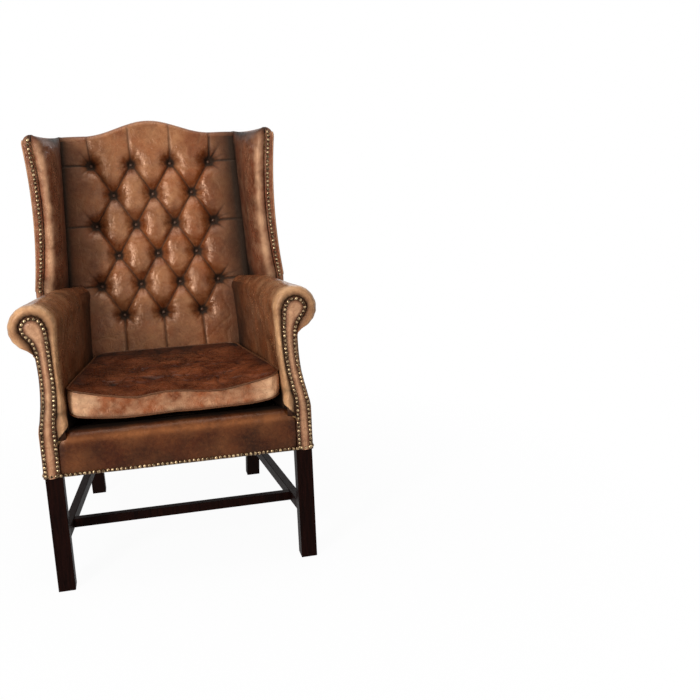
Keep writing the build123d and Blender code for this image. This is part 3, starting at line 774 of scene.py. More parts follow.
@dataclass(frozen=True)
class SpringSteel:
    """Oiled drawn steel wire: grey metal with faint rust bloom."""

    name: str = "spring_steel"
    base: str = "#6e6d70"
    dark: str = "#3f342e"
    bloom_mm: float = 25 / 3

    def build(self) -> Material:
        """Builds the node material.

        Returns:
            The material.
        """
        steel = Surface(self.name)
        bloom = steel.noise(steel.place(), self.bloom_mm, 4.0)
        return steel.dress(
            {
                "Base Color": steel.blend(steel.ramp(bloom, 0.4, 0.65), self.dark, self.base),
                "Roughness": steel.ramp(bloom, 0.3, 0.7, 0.5, 0.32),
                "Metallic": 1.0,
            }
        )


def leather(name: str, base: str, dark: str, pale: str, **options: object) -> Material:
    """A field's factory for one dye of the aged leather, built with the other finishes."""
    return field(default_factory=AgedLeather(f"leather_{name}", base=base, dark=dark, pale=pale, **options).build)


def finish(recipe: Union[PolishedWood, AntiqueBrass, WovenCloth, SpringSteel]) -> Material:
    """A field's factory for one finish, built with the other finishes."""
    return field(default_factory=recipe.build)


@dataclass
class Finishes:
    """Every finish of the chair, built once."""

    arm: Material = leather("arm", "#7c4324", "#4a2612", "#c4966c", roughness=0.29)
    back: Material = leather(
        "back", "#834420", "#592911", "#ab7850", roughness=0.27, specular=0.58, tint="#ffd2b2"
    )
    # a darker copy of the back's leather, painting the shade on buttons sunk deep in their pits
    button: Material = leather("button", "#4a2615", "#2a1208", "#7a4f34", roughness=0.2, specular=0.5)
    wing: Material = leather("wing", "#80442a", "#48200f", "#c99a75", roughness=0.27)
    border: Material = leather(
        "border", "#3e1403", "#260c03", "#86502c", roughness=0.27, specular=0.24, crease_mm=60
    )
    cushion_top: Material = leather(
        "cushion", "#491804", "#270a02", "#965230", roughness=0.27, specular=0.24, crease_mm=30
    )
    cushion_band: Material = leather(
        "cushion_band", "#94502c", "#6a3519", "#cfa27c", roughness=0.29, crease_mm=20, crease_depth_mm=1.2
    )
    piping: Material = leather("piping", "#4a2412", "#281006", "#8a5c3c")
    wood: Material = finish(PolishedWood("mahogany"))
    beech: Material = finish(PolishedWood("beech", base="#b08a5c", dark="#8a6740", roughness=0.6))
    brass: Material = finish(AntiqueBrass())
    # near-black, painting the shade in the gap under the cushion
    dark_leather: Material = leather("deck", "#1c0f08", "#0c0603", "#2b1a10")
    jute: Material = finish(WovenCloth("jute_webbing", "#8c7349", "#57452a", 3.0))
    felt: Material = finish(WovenCloth("hair_felt", "#6b5a47", "#3d3226", 4.0, 0.95))
    black_cloth: Material = finish(WovenCloth("black_dust_cloth", "#121212", "#060606", 1.0))
    twine: Material = finish(WovenCloth("flax_twine", "#a3906c", "#6d5d42", 1.5))
    steel: Material = finish(SpringSteel())


# ---------------------------------------------------------------- nails


@dataclass
class NailRow:
    """Domed brass nails set close along a line."""

    finish: Finishes
    spacing: float = 11.0
    radius: float = 5.0
    height: float = 3.6
    sides: int = 10
    tilt: float = 0.07  # how unevenly the heads sit
    # rings of the head, as shares of its radius and its height
    rings: Table = ((0.97, -0.4), (1.0, 0.05), (0.86, 0.5), (0.6, 0.84), (0.3, 0.97))

    def build(self, name: str, path: Array, outward: Array, body: Body = Body.CHAIR) -> Object:
        """Sets the nails.

        Args:
            name: the row's name.
            path: rows of x, y, z that the nails follow.
            outward: the direction that the heads face.
            body: the body they move with.

        Returns:
            The row as one object.
        """
        length = np.linalg.norm(np.diff(path, axis=0), axis=1).sum()
        count = max(2, int(length / self.spacing) + 1)
        facing = np.broadcast_to(outward, path.shape)
        spots = resample(np.hstack([path, facing]), count)
        points, faces = [], []
        random = np.random.default_rng(len(name) + count)
        for spot in spots:
            middle, up = spot[:3], spot[3:] / np.linalg.norm(spot[3:])
            up = up + random.normal(0, self.tilt, 3)
            up /= np.linalg.norm(up)
            side = np.cross(up, [0.2, 0.9, 0.38])
            side /= np.linalg.norm(side)
            other = np.cross(up, side)
            start = len(points)
            for reach, rise in self.rings:
                for turn in circle(self.sides):
                    around = math.cos(turn) * side + math.sin(turn) * other
                    points.append(middle + self.radius * reach * around + self.height * rise * up)
            points.append(middle + self.height * up)
            faces += [tuple(start + i for i in face) for face in grid_faces(len(self.rings), self.sides, closed=True)]
            crown = len(points) - 1
            last = crown - self.sides
            for i in range(self.sides):
                faces.append((last + i, last + (i + 1) % self.sides, crown))
            faces.append(tuple(start + i for i in reversed(range(self.sides))))
        return make_piece(name, np.array(points), faces, self.finish.brass, body)


# ---------------------------------------------------------------- the buttoned back


@dataclass
class ButtonedBack:
    """Deep buttoned padding: leather pulled into pits, pleats between them and full diamonds."""

    shape: ChairShape
    finish: Finishes
    step: float = 2.1  # of the height field
    puff: float = 12.5
    pleat_rise: float = 19
    bowl: float = 22  # how wide the leather is pulled in round a button
    button_radius: float = 6.8
    rim: float = 17  # rounding of the top edge
    rows: int = 350
    columns: int = 250
    turned: int = 12  # rows round the top edge
    half: float = 272  # of the height field
    rounds: int = 520  # of relaxation
    haste: float = 1.82  # of each round
    button_sides: int = 18
    tuck_low: float = -230  # where the lowest tucks end
    pit_dark: float = 14.5  # reach of the painted shade round a button
    pleat_dark: float = 1.9  # and beside a pleat, also painted shade
    # short folds beside the buttons: start, end, depth and width
    edge_folds: Table = (
        (5, 7, 40, 52, 3.2, 2.4),
        (6, 3, 58, 22, 1.8, 2.6),
        (5, -7, 38, -36, 2.4, 2.4),
    )
    inner_folds: Table = ((7, 2, 52, 10, 2.4, 3.0), (6, -5, 44, -28, 2.0, 2.6))
    low_folds: Table = (
        (5, -5, 34, -38, 2.8, 2.4),
        (-4, -6, -26, -36, 2.2, 2.4),
        (7, 1, 42, -10, 2.2, 2.4),
        (-6, 0, -44, -6, 1.8, 2.4),
    )
    # a button's rings, as radius and height
    button_rings: Table = (
        (0.0, 5.6), (2.0, 5.4), (3.9, 4.8), (5.4, 3.6), (6.5, 1.4), (6.8, -1.0), (6.2, -2.8),
    )  # fmt: skip
    # the leather over the top rail: drop from the crest and height over the buttons' plane
    crest_profile: Table = ((-40, 2.0), (-12, 1.0), (-5, -2), (-1.6, -7), (-0.8, -14))

    def pleats(self) -> list[tuple[float, float, float, float]]:
        """Every diamond fold as x and up-slope distance of its two ends.

        Returns:
            The folds.
        """
        rows = self.shape.rows_of_buttons()
        pairs = ((a, b) for low, high in zip(rows, rows[1:]) for a in low for b in high)
        return [(*a, *b) for a, b in pairs if abs(abs(a[0] - b[0]) - self.shape.button_pitch / 2) < 1]

    @staticmethod
    def fan(x: float, up: float, side: float, folds: Sequence[Sequence[float]]) -> list[tuple[float, ...]]:
        """Short folds beside a button.

        Args:
            x: the button's place across.
            up: its place up the slope.
            side: 1 or -1, the way the folds run.
            folds: start and end from the button, depth and width of each.

        Returns:
            The folds as tucks.
        """
        return [(x + side * a, up + b, x + side * c, up + d, depth, 0.0, width) for a, b, c, d, depth, width in folds]

    def tucks(self) -> list[tuple[float, ...]]:
        """Folds that run out to the edges, as two ends, depth at both and width.

        Returns:
            The folds.
        """
        s = self.shape
        rows = s.rows_of_buttons()
        top = s.along(s.shoulder_top + s.hump_rise) + 20
        low = self.tuck_low
        lines: list[tuple[float, ...]] = []
        for x, up in rows[-1]:
            lines.append((x, up, x * 1.07, top, 6.0, 1.6, 2.0))
            lines.append((x + 5, up + 16, x * 1.07 + 4.5, top, 1.4, 0.9, 1.6))
        for x, up in rows[0]:
            lines.append((x, up, x * 1.04, low, 6.0, 2.2, 2.2))
            lines.append((x - 4, up - 14, x * 1.04 - 5, low, 1.2, 1.0, 1.8))
        for row in rows[1::2]:
            for x, up in (row[0], row[-1]):
                side = math.copysign(1, x)
                lines.append((x, up, side * 266, up - 2 + 0.02 * side, 6.0, 2.6, 2.2))
                lines += self.fan(x, up, side, self.edge_folds)
        for row in rows[0::2]:
            for x, up in (row[0], row[-1]):
                lines += self.fan(x, up, math.copysign(1, x), self.inner_folds)
        for x, up in rows[0]:
            lines += self.fan(x, up, 1, self.low_folds)
        return lines

    @staticmethod
    def distance(x: Array, s: Array, line: Sequence[float]) -> tuple[Array, Array]:
        """Distance to a straight fold, and the share along it.

        Args:
            x: places across.
            s: places up the slope.
            line: both ends of the fold.

        Returns:
            The distance and the share.
        """
        ax, ay, bx, by = line[:4]
        run = np.array([bx - ax, by - ay])
        share = unit(((x - ax) * run[0] + (s - ay) * run[1]) / run.dot(run))
        return np.hypot(x - ax - share * run[0], s - ay - share * run[1]), share

    def blown(self, x: Array, up: Array, held: Array) -> Array:
        """Height of a skin blown up between held places, by relaxation.

        Args:
            x: places across.
            up: places up the slope.
            held: true where the skin is sewn down.

        Returns:
            The height, unscaled.
        """
        free = ~held
        h = np.where(free, 300.0, 0.0)
        checker = (np.indices(x.shape).sum(axis=0) % 2).astype(bool)
        for _ in range(self.rounds):
            for colour in (checker, ~checker):
                near = np.zeros_like(h)
                near[1:-1, 1:-1] = h[2:, 1:-1] + h[:-2, 1:-1] + h[1:-1, 2:] + h[1:-1, :-2]
                near[0, 1:-1] = 2 * h[1, 1:-1] + h[0, 2:] + h[0, :-2]
                near[-1, 1:-1] = 2 * h[-2, 1:-1] + h[-1, 2:] + h[-1, :-2]
                target = 0.25 * (near + self.step**2)
                change = free & colour
                h[change] += self.haste * (target[change] - h[change])
        return np.maximum(h, 0)

    def fields(self) -> tuple[Array, Array, Array, Array]:
        """Solves the padding's height over a flat grid.

        Returns:
            The x and up-slope lines of the grid, the height and the shade on it.
        """
        s = self.shape
        low = s.along(s.rail_top) + 2
        high = s.along(s.shoulder_top + s.hump_rise) + 12
        xs = np.arange(-self.half, self.half + 0.01, self.step)
        ss = np.arange(low, high, self.step)
        x, up = np.meshgrid(xs, ss)
        height_z = s.button_z + up * math.cos(s.slope)
        wall = s.wall_x(height_z)
        to_pleat = np.full(x.shape, 1e9)
        for line in self.pleats():
            to_pleat = np.minimum(to_pleat, self.distance(x, up, line)[0])
        to_button = np.full(x.shape, 1e9)
        for bx, bs in s.button_places():
            to_button = np.minimum(to_button, np.hypot(x - bx, up - bs))
        held = (to_pleat < self.step * 0.62) | (to_button < self.button_radius + 1.0) | (np.abs(x) > wall + 7)
        held |= up > s.crest_s(x) + 8
        h = self.blown(x, up, held)
        middle = h[np.argmin(abs(ss - 2 * s.row_pitch)), np.argmin(abs(xs - s.button_pitch / 2))]
        share = np.tanh(1.5 * (h / middle) ** 0.72) / math.tanh(1.5)
        w = (self.pleat_rise + self.puff * share) * (1 - np.exp(-((to_button / self.bowl) ** 1.35)))
        # painted shade: near-black in the pits and along the pleats
        shade = 0.97 * np.exp(-((to_button / self.pit_dark) ** 4)) + 0.3 * hill(to_button, 0, self.bowl)
        shade += 0.95 * hill(to_pleat, 0, self.pleat_dark) + 0.08 * hill(to_pleat, 0, 7.0)
        for bx, bs in s.button_places():
            reach = np.hypot(x - bx, up - bs)
            turn = np.arctan2(up - bs, x - bx)
            folds = np.sin(turn * (8 + (bs / s.row_pitch) % 3) + bx * 0.07 + bs)
            folds += 0.6 * np.sin(turn * 15 + bx * 0.31)
            fade = hill(reach, 15, 15) * (reach > 8)
            # folds round a button, with painted shade in their hollows and painted light on their ridges
            w += 0.8 * folds * fade
            shade -= 0.06 * folds * fade
        for mark in self.tucks():
            away, t = self.distance(x, up, mark)
            depth = mix(mark[4], mark[5], t**0.7) * smooth(7, 14, to_button)
            w -= depth * np.exp(-np.abs(away) / mark[6])
            # painted shade in the tucks
            shade += 0.8 * unit(depth / 3.0) * hill(away, 0, 1.1 * mark[6])
        # painted shade near the wings, towards both sides, more on the right, and towards the bottom
        shade += 0.75 * np.exp(-np.maximum(wall - np.abs(x), 0) / 14)
        shade += 0.5 * smooth(150, 245, np.abs(x)) + 0.25 * smooth(100, 220, x) + 0.3 * smooth(-60, -170, up)
        return xs, ss, w, unit(shade)

    def build(self) -> Object:
        """Builds the padding, its top edge and its buttons.

        Returns:
            The padding.
        """
        s = self.shape
        xs, ss, w, shade = self.fields()

        def sample(values: Array, x: Array, up: Array) -> Array:
            """Reads a field between its grid lines.

            Args:
                values: the field.
                x: places across.
                up: places up the slope.

            Returns:
                The field at those places.
            """
            i = np.clip((up - ss[0]) / self.step, 0, len(ss) - 1.001)
            j = np.clip((x - xs[0]) / self.step, 0, len(xs) - 1.001)
            a, b = i.astype(int), j.astype(int)
            u, v = i - a, j - b
            top = mix(values[a, b], values[a, b + 1], v)
            return mix(top, mix(values[a + 1, b], values[a + 1, b + 1], v), u)

        turned = self.turned
        across = np.linspace(-1, 1, self.columns)
        loops, shades, rubbed_and_lit_crowns = [], [], []
        for i in range(self.rows + turned + 4):
            t = min(i / (self.rows - 1), 1.0)
            crest = s.crest_s(across * (s.rear_half - s.wall_inset))
            up = mix(ss[0], crest - self.rim, t)
            x = across * (s.wall_x(s.button_z + up * math.cos(s.slope)) + 3)
            lift = np.maximum(sample(w, x, up), 0.5)
            dark = sample(shade, x, up)
            # the diamonds' crown on the left and middle of the back, worn paler, with a painted highlight where the
            # key lamp falls from the left
            rubbed_and_lit_crowns.append(unit((lift - 15) / 15) * smooth(215, 150, np.abs(x)) * smooth(150, 60, x))
            if i >= self.rows:
                turn = min((i - self.rows + 1) / turned, 1.0) * math.pi / 2
                up = crest - self.rim + self.rim * math.sin(turn)
                lift = lift - self.rim * (1 - math.cos(turn))
                if i >= self.rows + turned:
                    lift = mix(lift, np.full_like(lift, s.post_rear - 0.5), (i - self.rows - turned + 1) / 4)
                dark = dark * 0.75
            loops.append(s.on_back(x, up, lift))
            shades.append(dark)
        last = loops[-1][:, 0]
        loops.append(s.on_back(last, s.crest_s(last) - 60, np.full(self.columns, -s.pad_depth + 1.0)))
        loops.append(s.on_back(loops[0][:, 0], np.full(self.columns, ss[0]), np.full(self.columns, -s.pad_depth)))
        shades += [np.ones(self.columns)] * 2
        rubbed_and_lit_crowns += [np.zeros(self.columns)] * 2
        points = np.vstack(loops)
        # the padding stays behind the leather outside the arms
        points[:, 0] = np.clip(points[:, 0], -s.rear_half - 1, s.rear_half + 1)
        dark = np.concatenate(shades)
        # small creases, a little paler with age and with painted shade in them
        creased = wrinkle(points, 48, 17) * (dark < 0.5)
        points[:, 1] += 0.7 * creased
        wear = 0.05 + 0.3 * blotch(points, 60, 3) + 0.2 * blotch(points, 18, 7) + 0.15 * creased
        # paler crown: worn, and a painted highlight
        wear += 0.3 * np.concatenate(rubbed_and_lit_crowns) ** 1.5
        padding = make_piece(
            "back_padding",
            points,
            slab_faces(len(loops), self.columns),
            self.finish.back,
            layers=looks(dark + 0.06 * creased, wear),
            replaces=["tufted_back"],
            slot="back_leather",
        )
        self.buttons()
        self.crest_cover()
        return padding

    def buttons(self) -> Object:
        """Leather covered buttons sunk in their pits.

        Returns:
            The buttons as one object.
        """
        s = self.shape
        rings = self.button_rings
        points, faces, dark = [], [], []
        sides = self.button_sides
        for x, up in s.button_places():
            start = len(points)
            points.append(s.on_back(np.array(x), np.array(up), np.array(rings[0][1])))
            # painted shade: a button is lighter at its middle and darker towards its rim, down in its pit
            dark.append(0.25)
            for radius, lift in rings[1:]:
                for turn in circle(sides):
                    spot = (x + radius * math.cos(turn), up + radius * math.sin(turn), lift)
                    points.append(s.on_back(*(np.array(value) for value in spot)))
                    dark.append(min(0.3 + 0.7 * (radius / self.button_radius) ** 2, 1.0))
            for i in range(sides):
                faces.append((start, start + 1 + i, start + 1 + (i + 1) % sides))
            faces += [tuple(start + 1 + i for i in face) for face in grid_faces(len(rings) - 1, sides, closed=True)]
            last = start + 1 + (len(rings) - 2) * sides
            faces.append(tuple(last + i for i in reversed(range(sides))))
        return make_piece(
            "back_button_heads",
            np.array(points),
            faces,
            self.finish.button,
            layers=looks(np.array(dark), np.full(len(points), 0.1)),
            replaces=["back_buttons"],
            slot="back_leather",
        )

    def crest_cover(self) -> Object:
        """Leather over the top rail, from the padding to the outside back, shoulder to shoulder.

        Returns:
            The leather.
        """
        s = self.shape
        across = np.linspace(-s.rear_half, s.rear_half, 160)
        top = s.crest_s(across)
        rear = s.post_rear
        profile = (*self.crest_profile, (-0.8, rear + 8), (-2.5, rear + 1), (-8, rear), (-40, rear))
        rows = [s.on_back(across, top + drop, np.full_like(across, w)) for drop, w in profile]
        points = np.vstack(rows)
        return make_piece(
            "crest_leather",
            points,
            slab_faces(len(rows), len(across)),
            self.finish.back,
            layers=looks(np.full(len(points), 0.05), np.full(len(points), 0.45)),
            slot="back_leather",
        )


# ---------------------------------------------------------------- arms


@dataclass
class RolledArm:
    """An arm that rolls outwards, with its nailed scroll front and outside panel."""

    shape: ChairShape
    finish: Finishes
    side: Side
    shoulder: float = 195
    tuck: float = -60
    nose: float = 9
    round_start: float = 12
    waist_front: float = 21
    waist_z: float = 600
    lean: float = 7.5  # how far the scrolls have settled to the left with age
    nail_inset: float = 5.6
    sweep: float = 156  # how far the front is rounded, in degrees
    # the pinched foot of the roll's front
    foot_x: float = 293
    foot_z: float = 399
    knob_z: float = 437
    pinch_z: float = 464
    # points of a section up the inside, over the crown, round the nose, down the fillet and waist, and along the rail
    inside_count: int = 34
    crown_count: int = 26
    nose_count: int = 34
    fillet_count: int = 10
    waist_count: int = 20
    rail_count: int = 8
    # the facing's rings: distance outwards from the nails, depth, shade (painted shade by the nails and in the seam)
    # and how worn it is (worn paler, and a painted highlight down the strip's middle)
    rims: Table = (
        (5.6, 0.0, 0.95, 0.0),
        (5.8, -2.5, 0.8, 0.1),
        (4.8, -4.4, 0.75, 0.1),
        (3.4, -5.0, 0.7, 0.1),
        (0.0, -4.4, 0.88, 0.0),
        (-4.5, -5.4, 0.6, 0.2),
        (-8, -7.0, 0.22, 0.4),
        (-12, -8.2, 0.0, 0.65),
    )
    # where the panel passes round the front post, as height and x
    post_line: Table = (
        (440, 300), (465, 322), (500, 319), (560, 312.4), (600, 311.4), (631, 312.4),
    )  # fmt: skip
    # the nails' line, up the inner side, round the head and down the outer side, as x and z
    nail_line: Table = (
        (299.5, 300), (298.8, 340), (298.4, 380), (298.2, 426), (296, 453), (290, 481), (285.4, 513),
        (283, 548), (282.3, 586), (282.9, 628), (284, 655), (286.4, 676), (291.4, 690), (301, 699.5),
        (313.8, 702.6), (326.6, 698.6), (335.6, 688.6), (338, 676.4), (333, 664), (323.6, 654.4), (315.2, 643),
        (310, 626), (307.7, 603), (306.9, 580), (307.2, 557), (309.6, 525), (315.4, 485), (320.8, 458),
        (326, 430), (327.6, 400), (328.2, 340), (329, 300),
    )  # fmt: skip

    def flip(self, points: Array) -> Array:
        """Mirrors points for the left arm and lets the scrolls lean.

        Args:
            points: rows of x, y, z for the right arm.

        Returns:
            The rows for this arm.
        """
        out = np.array(points, float)
        out[..., 0] *= self.side.value
        out[..., 0] -= self.lean * smooth(430, 620, out[..., 2]) * (1 - smooth(60, 420, out[..., 1]))
        return out

    @staticmethod
    def arc(start: Array, through: Array, end: Array, count: int) -> Array:
        """Points along the arc through three points, in the plane of x and z, end left out.

        Args:
            start: the first point.
            through: a point between.
            end: the last point.
            count: how many points to return.

        Returns:
            Rows of x and z.
        """
        ax, az = start
        bx, bz = through
        cx, cz = end
        d = 2 * (ax * (bz - cz) + bx * (cz - az) + cx * (az - bz))
        t = np.arange(count) / count
        if abs(d) < 1e-6:
            return mix(np.array(start)[None], np.array(end)[None], t[:, None])
        ux = ((ax**2 + az**2) * (bz - cz) + (bx**2 + bz**2) * (cz - az) + (cx**2 + cz**2) * (az - bz)) / d
        uz = ((ax**2 + az**2) * (cx - bx) + (bx**2 + bz**2) * (ax - cx) + (cx**2 + cz**2) * (bx - ax)) / d
        radius = math.hypot(ax - ux, az - uz)
        a0, a1, a2 = (math.atan2(p[1] - uz, p[0] - ux) for p in (start, through, end))
        sweep = (a2 - a0) % (2 * math.pi)
        if (a1 - a0) % (2 * math.pi) > sweep:
            sweep -= 2 * math.pi
        turns = a0 + sweep * t
        return np.stack([ux + radius * np.cos(turns), uz + radius * np.sin(turns)], axis=1)

    def waist_side(self, y: float, outer: float, start: Array, count: int) -> Array:
        """The hollow outer side under the scroll, from its tuck to the fold above the rail.

        Args:
            y: depth along the arm.
            outer: the arm's outer side at the rail.
            start: where the scroll tucks in.
            count: points in the curve below the tuck.

        Returns:
            Rows of x and z.
        """
        s = self.shape
        share = float(s.arm_share(y))
        waist = outer - mix(self.waist_front, 0, share)
        low = mix(self.waist_z, start[1] - 12, share)
        corner = np.array([waist, mix(start[1] - 15, start[1] - 3, share)])
        t = (np.arange(self.fillet_count) / self.fillet_count)[:, None]
        fillet = (1 - t) ** 2 * start + 2 * t * (1 - t) * corner + t**2 * np.array([waist, low])
        bow = mix(-8.4, s.rear_bow, share)
        side = self.arc((waist, low), ((waist + outer) / 2 + bow, (low + s.fold_z) / 2), (outer, s.fold_z), count)
        return np.vstack([fillet, side])

    def scroll_point(self, y: float, angle: float) -> Array:
        """The x and z of the scroll's skin at depth y and an angle in degrees.

        Args:
            y: depth along the arm.
            angle: 0 is straight outwards and 90 straight up.

        Returns:
            The x and z.
        """
        _, middle_x, middle_z, radius = self.shape.arm_station(y)
        turn = math.radians(angle)
        return np.array([middle_x + radius * math.cos(turn), middle_z + radius * math.sin(turn)])

    def section(self, y: float) -> Array:
        """Outline of the arm's padding at depth y, as x and z rows.

        Args:
            y: depth along the arm.

        Returns:
            The outline.
        """
        s = self.shape
        inner = s.arm_station(y)[0]
        start, high, top, nose, end = (self.scroll_point(y, turn) for turn in (self.shoulder, 142, 90, 15, self.tuck))
        outer = float(s.side_x(y)) - 3.2
        low = s.rail_top
        t = np.arange(self.rail_count)[:, None] / self.rail_count
        parts = [
            self.arc((inner, low), ((inner + start[0]) / 2 + 3, (low + start[1]) / 2), start, self.inside_count),
            self.arc(start, high, top, self.crown_count),
            self.arc(top, nose, end, self.nose_count),
            self.waist_side(y, outer, end, self.waist_count),
            mix(np.array([[outer, s.fold_z]]), np.array([[outer, low]]), t),
            mix(np.array([[outer, low]]), np.array([[inner, low]]), t),
        ]
        return np.vstack(parts)

    def facing_line(self, offset: float, count: int = 300) -> Array:
        """The nails' line moved outwards by an offset, as x and z rows.

        Args:
            offset: distance outwards from the nails.
            count: points along the line.

        Returns:
            The line.
        """
        line = resample(np.array(self.nail_line), count)
        for _ in range(6):
            line[1:-1] = 0.25 * line[:-2] + 0.5 * line[1:-1] + 0.25 * line[2:]
        run = np.gradient(line, axis=0)
        run /= np.linalg.norm(run, axis=1)[:, None]
        return line + offset * np.stack([-run[:, 1], run[:, 0]], axis=1)

    def front_target(self) -> Array:
        """Points of the facing's edge in step with the arm's section.

        Returns:
            Rows of x and z.
        """
        s = self.shape
        line = self.facing_line(self.nail_inset - 1.5)
        line = line[line[:, 1] >= s.rail_top]
        top = int(np.argmax(line[:, 1]))
        inner, outer = line[: top + 1], line[top:]
        shoulder = int(np.argmin(abs(inner[:, 1] - 662)))
        after = np.argmax((outer[:, 1] < self.waist_z) & (outer[:, 0] < 330))
        fold = np.argmin(abs(outer[:, 1] - s.fold_z))
        runs = (
            (inner[: shoulder + 1], self.inside_count),
            (inner[shoulder:], self.crown_count),
            (outer[: after + 1], self.nose_count + self.fillet_count),
            (outer[after : fold + 1], self.waist_count),
            (outer[fold:], self.rail_count),
            (np.array([outer[-1], inner[0]]), self.rail_count),
        )
        return np.vstack([resample(run, points + 1)[:-1] for run, points in runs])

    def build(self) -> None:
        """Builds the padding, the tuck under its foot, facing, outside panel and nails."""
        self.padding()
        self.foot_cover()
        self.facing()
        self.panel()

    def foot(self, points: Array) -> Array:
        """Rounds the foot of the roll's front into a small pinched knob.

        Args:
            points: rows of the padding.

        Returns:
            The moved rows.
        """
        near = smooth(26, 12, points[:, 1])
        slant = self.foot_z + np.clip(self.foot_x - points[:, 0], 0, 40) * 1.18
        lifted = np.where(points[:, 0] < self.foot_x, np.maximum(points[:, 2], slant), points[:, 2])
        points[:, 2] = mix(points[:, 2], lifted, near)
        front = smooth(30, 5, points[:, 1]) * (points[:, 0] < 296)
        knob = hill(points[:, 2], self.knob_z, 13) * front
        pinch = hill(points[:, 2], self.pinch_z, 10) * front
        points[:, 1] -= 4.5 * knob - 2.2 * pinch
        points[:, 0] -= (4.0 * knob - 2.0 * pinch) * (points[:, 0] < 285)
        return points

    def foot_cover(self) -> Object:
        """The leather under the roll's foot, tucked in behind the border's lip.

        Returns:
            The tucked leather.
        """
        outline = ((297, 396), (297, 401), (290, 410), (280, 422), (273, 431), (272, 396))
        loops = [self.flip(np.array([(x, y, z) for x, z in outline])) for y in (-1.4, -0.1)]
        return loft(
            f"arm_tuck_{self.side.word}",
            loops,
            self.finish.border,
            # painted shade over the whole tuck
            layers=looks(np.full(12, 0.6), np.full(12, 0.1)),
        )

    def padding(self) -> Object:
        """The padded roll with its rounded front.

        Returns:
            The padding.
        """
        s = self.shape
        target = self.front_target()
        first = self.section(self.round_start)
        loops, depths = [], []
        height = self.round_start + self.nose
        for i in range(15):
            turn = math.radians(self.sweep * (1 - i / 14))
            share = (1 - math.cos(turn)) / (1 - math.cos(math.radians(self.sweep)))
            flat = mix(first, target, share**1.1)
            y = self.round_start - height * math.sin(turn)
            loops.append(at_depth(flat, y))
            depths.append(share)
        for y in np.concatenate([np.linspace(15, 60, 14), np.linspace(65, 592, 90)]):
            flat = self.section(float(y))
            loops.append(at_depth(flat, y))
            depths.append(0)
        points = np.vstack(loops)
        count = len(loops[0])
        number = np.tile(np.arange(count), len(loops))
        depth = np.repeat(depths, count)
        middle = np.stack(s.arm_station(points[:, 1])[1:3], axis=1)
        away = points[:, [0, 2]] - middle
        away /= np.linalg.norm(away, axis=1)[:, None] + 1e-6
        gather = np.sin(number * 1.31 + 0.6 * np.sin(number * 0.37)) * np.exp(-np.abs(points[:, 1] + 2) / 14)
        on_scroll = (number > 26) & (number < 100)
        creased = wrinkle(points, 60, 21)
        push = 0.8 * gather * on_scroll + 1.1 * blotch(points, 45, 11) + 0.6 * blotch(points, 16, 5)
        push -= 1.3 * creased * (points[:, 1] > 12)
        push = np.where(depth > 0.9, 0, push)
        points[:, 0] += away[:, 0] * push
        points[:, 2] += away[:, 1] * push
        level = points[:, 2].copy()
        points = self.foot(points)
        inner = number < self.inside_count
        nose_end = self.inside_count + self.crown_count + self.nose_count
        tucked = unit((points[:, 2] - level) / 1.5)
        # painted shade: low and far back on the inner side, beside the facing's nails, under the scroll, over the
        # lifted foot, in the pinch and behind the front roll
        shade = 0.9 * smooth(480, 405, points[:, 2]) * smooth(25, 90, points[:, 1]) * inner
        shade += 0.75 * smooth(300, 560, points[:, 1]) * (number < 46)
        shade += 0.65 * unit((depth - 0.45) / 0.4) + 0.4 * unit((depth - 0.8) / 0.2) + 0.1 * creased
        shade += 0.3 * smooth(660, 430, points[:, 2]) * smooth(30, 200, points[:, 1]) * inner
        shade += 0.5 * smooth(630, 600, points[:, 2]) * (number > nose_end) * (depth < 0.5) + 0.95 * tucked
        shade += 0.5 * hill(points[:, 2], self.pinch_z, 7) * smooth(30, 5, points[:, 1]) * inner
        shade += 0.95 * smooth(478, 450, points[:, 2]) * smooth(8, 34, points[:, 1]) * inner
        wear = 0.8 * hill(points[:, 1], -3, 26) * (1 - 0.8 * depth)
        wear += 0.22 * hill(number, 60, 20) * smooth(420, 60, points[:, 1])
        # low on the front of the inner side: worn paler, with a painted highlight where the key lamp lights the front
        # ring
        wear += 0.28 * smooth(34, 8, points[:, 1]) * inner
        wear += 0.3 * blotch(points, 50, 9) + 0.15 * blotch(points, 17, 19)
        padding = loft(
            f"arm_roll_{self.side.word}",
            [self.flip(loop) for loop in points.reshape(len(loops), count, 3)],
            self.finish.arm,
            layers=looks(shade, wear),
            replaces=[f"arm_pad_{self.side.word}"],
            slot="brown_leather",
        )
        return padding

    def facing(self) -> Object:
        """The leather covered scroll facing and its nails.

        Returns:
            The facing.
        """
        s = self.shape
        rims = []
        for offset, y, _, _ in self.rims:
            ring = self.facing_line(offset, 260)
            ring[:, 1] = np.maximum(ring[:, 1], s.apron_bottom)
            rims.append(at_depth(ring, y))
        points = np.vstack(rims)
        count = len(rims[0])
        # painted shade by the nails and in the seam; the middle of the strip is worn paler and has a painted
        # highlight
        band, rubbed = (np.repeat([rim[i] for rim in self.rims], count) for i in (2, 3))
        wear = rubbed + 0.3 * blotch(points, 25, 3)
        facing = make_piece(
            f"arm_front_{self.side.word}",
            self.flip(points),
            skin_faces(len(rims), count),
            self.finish.wing,
            layers=looks(band, wear),
            replaces=[f"arm_facing_{self.side.word}"],
            slot="brown_leather",
        )
        line = self.facing_line(0.0)
        path = at_depth(line, -5.0)
        path = path[path[:, 2] > s.apron_bottom + 5]
        nails = NailRow(self.finish)
        nails.build(f"arm_front_nails_{self.side.word}", self.flip(path), FORWARD)
        return facing

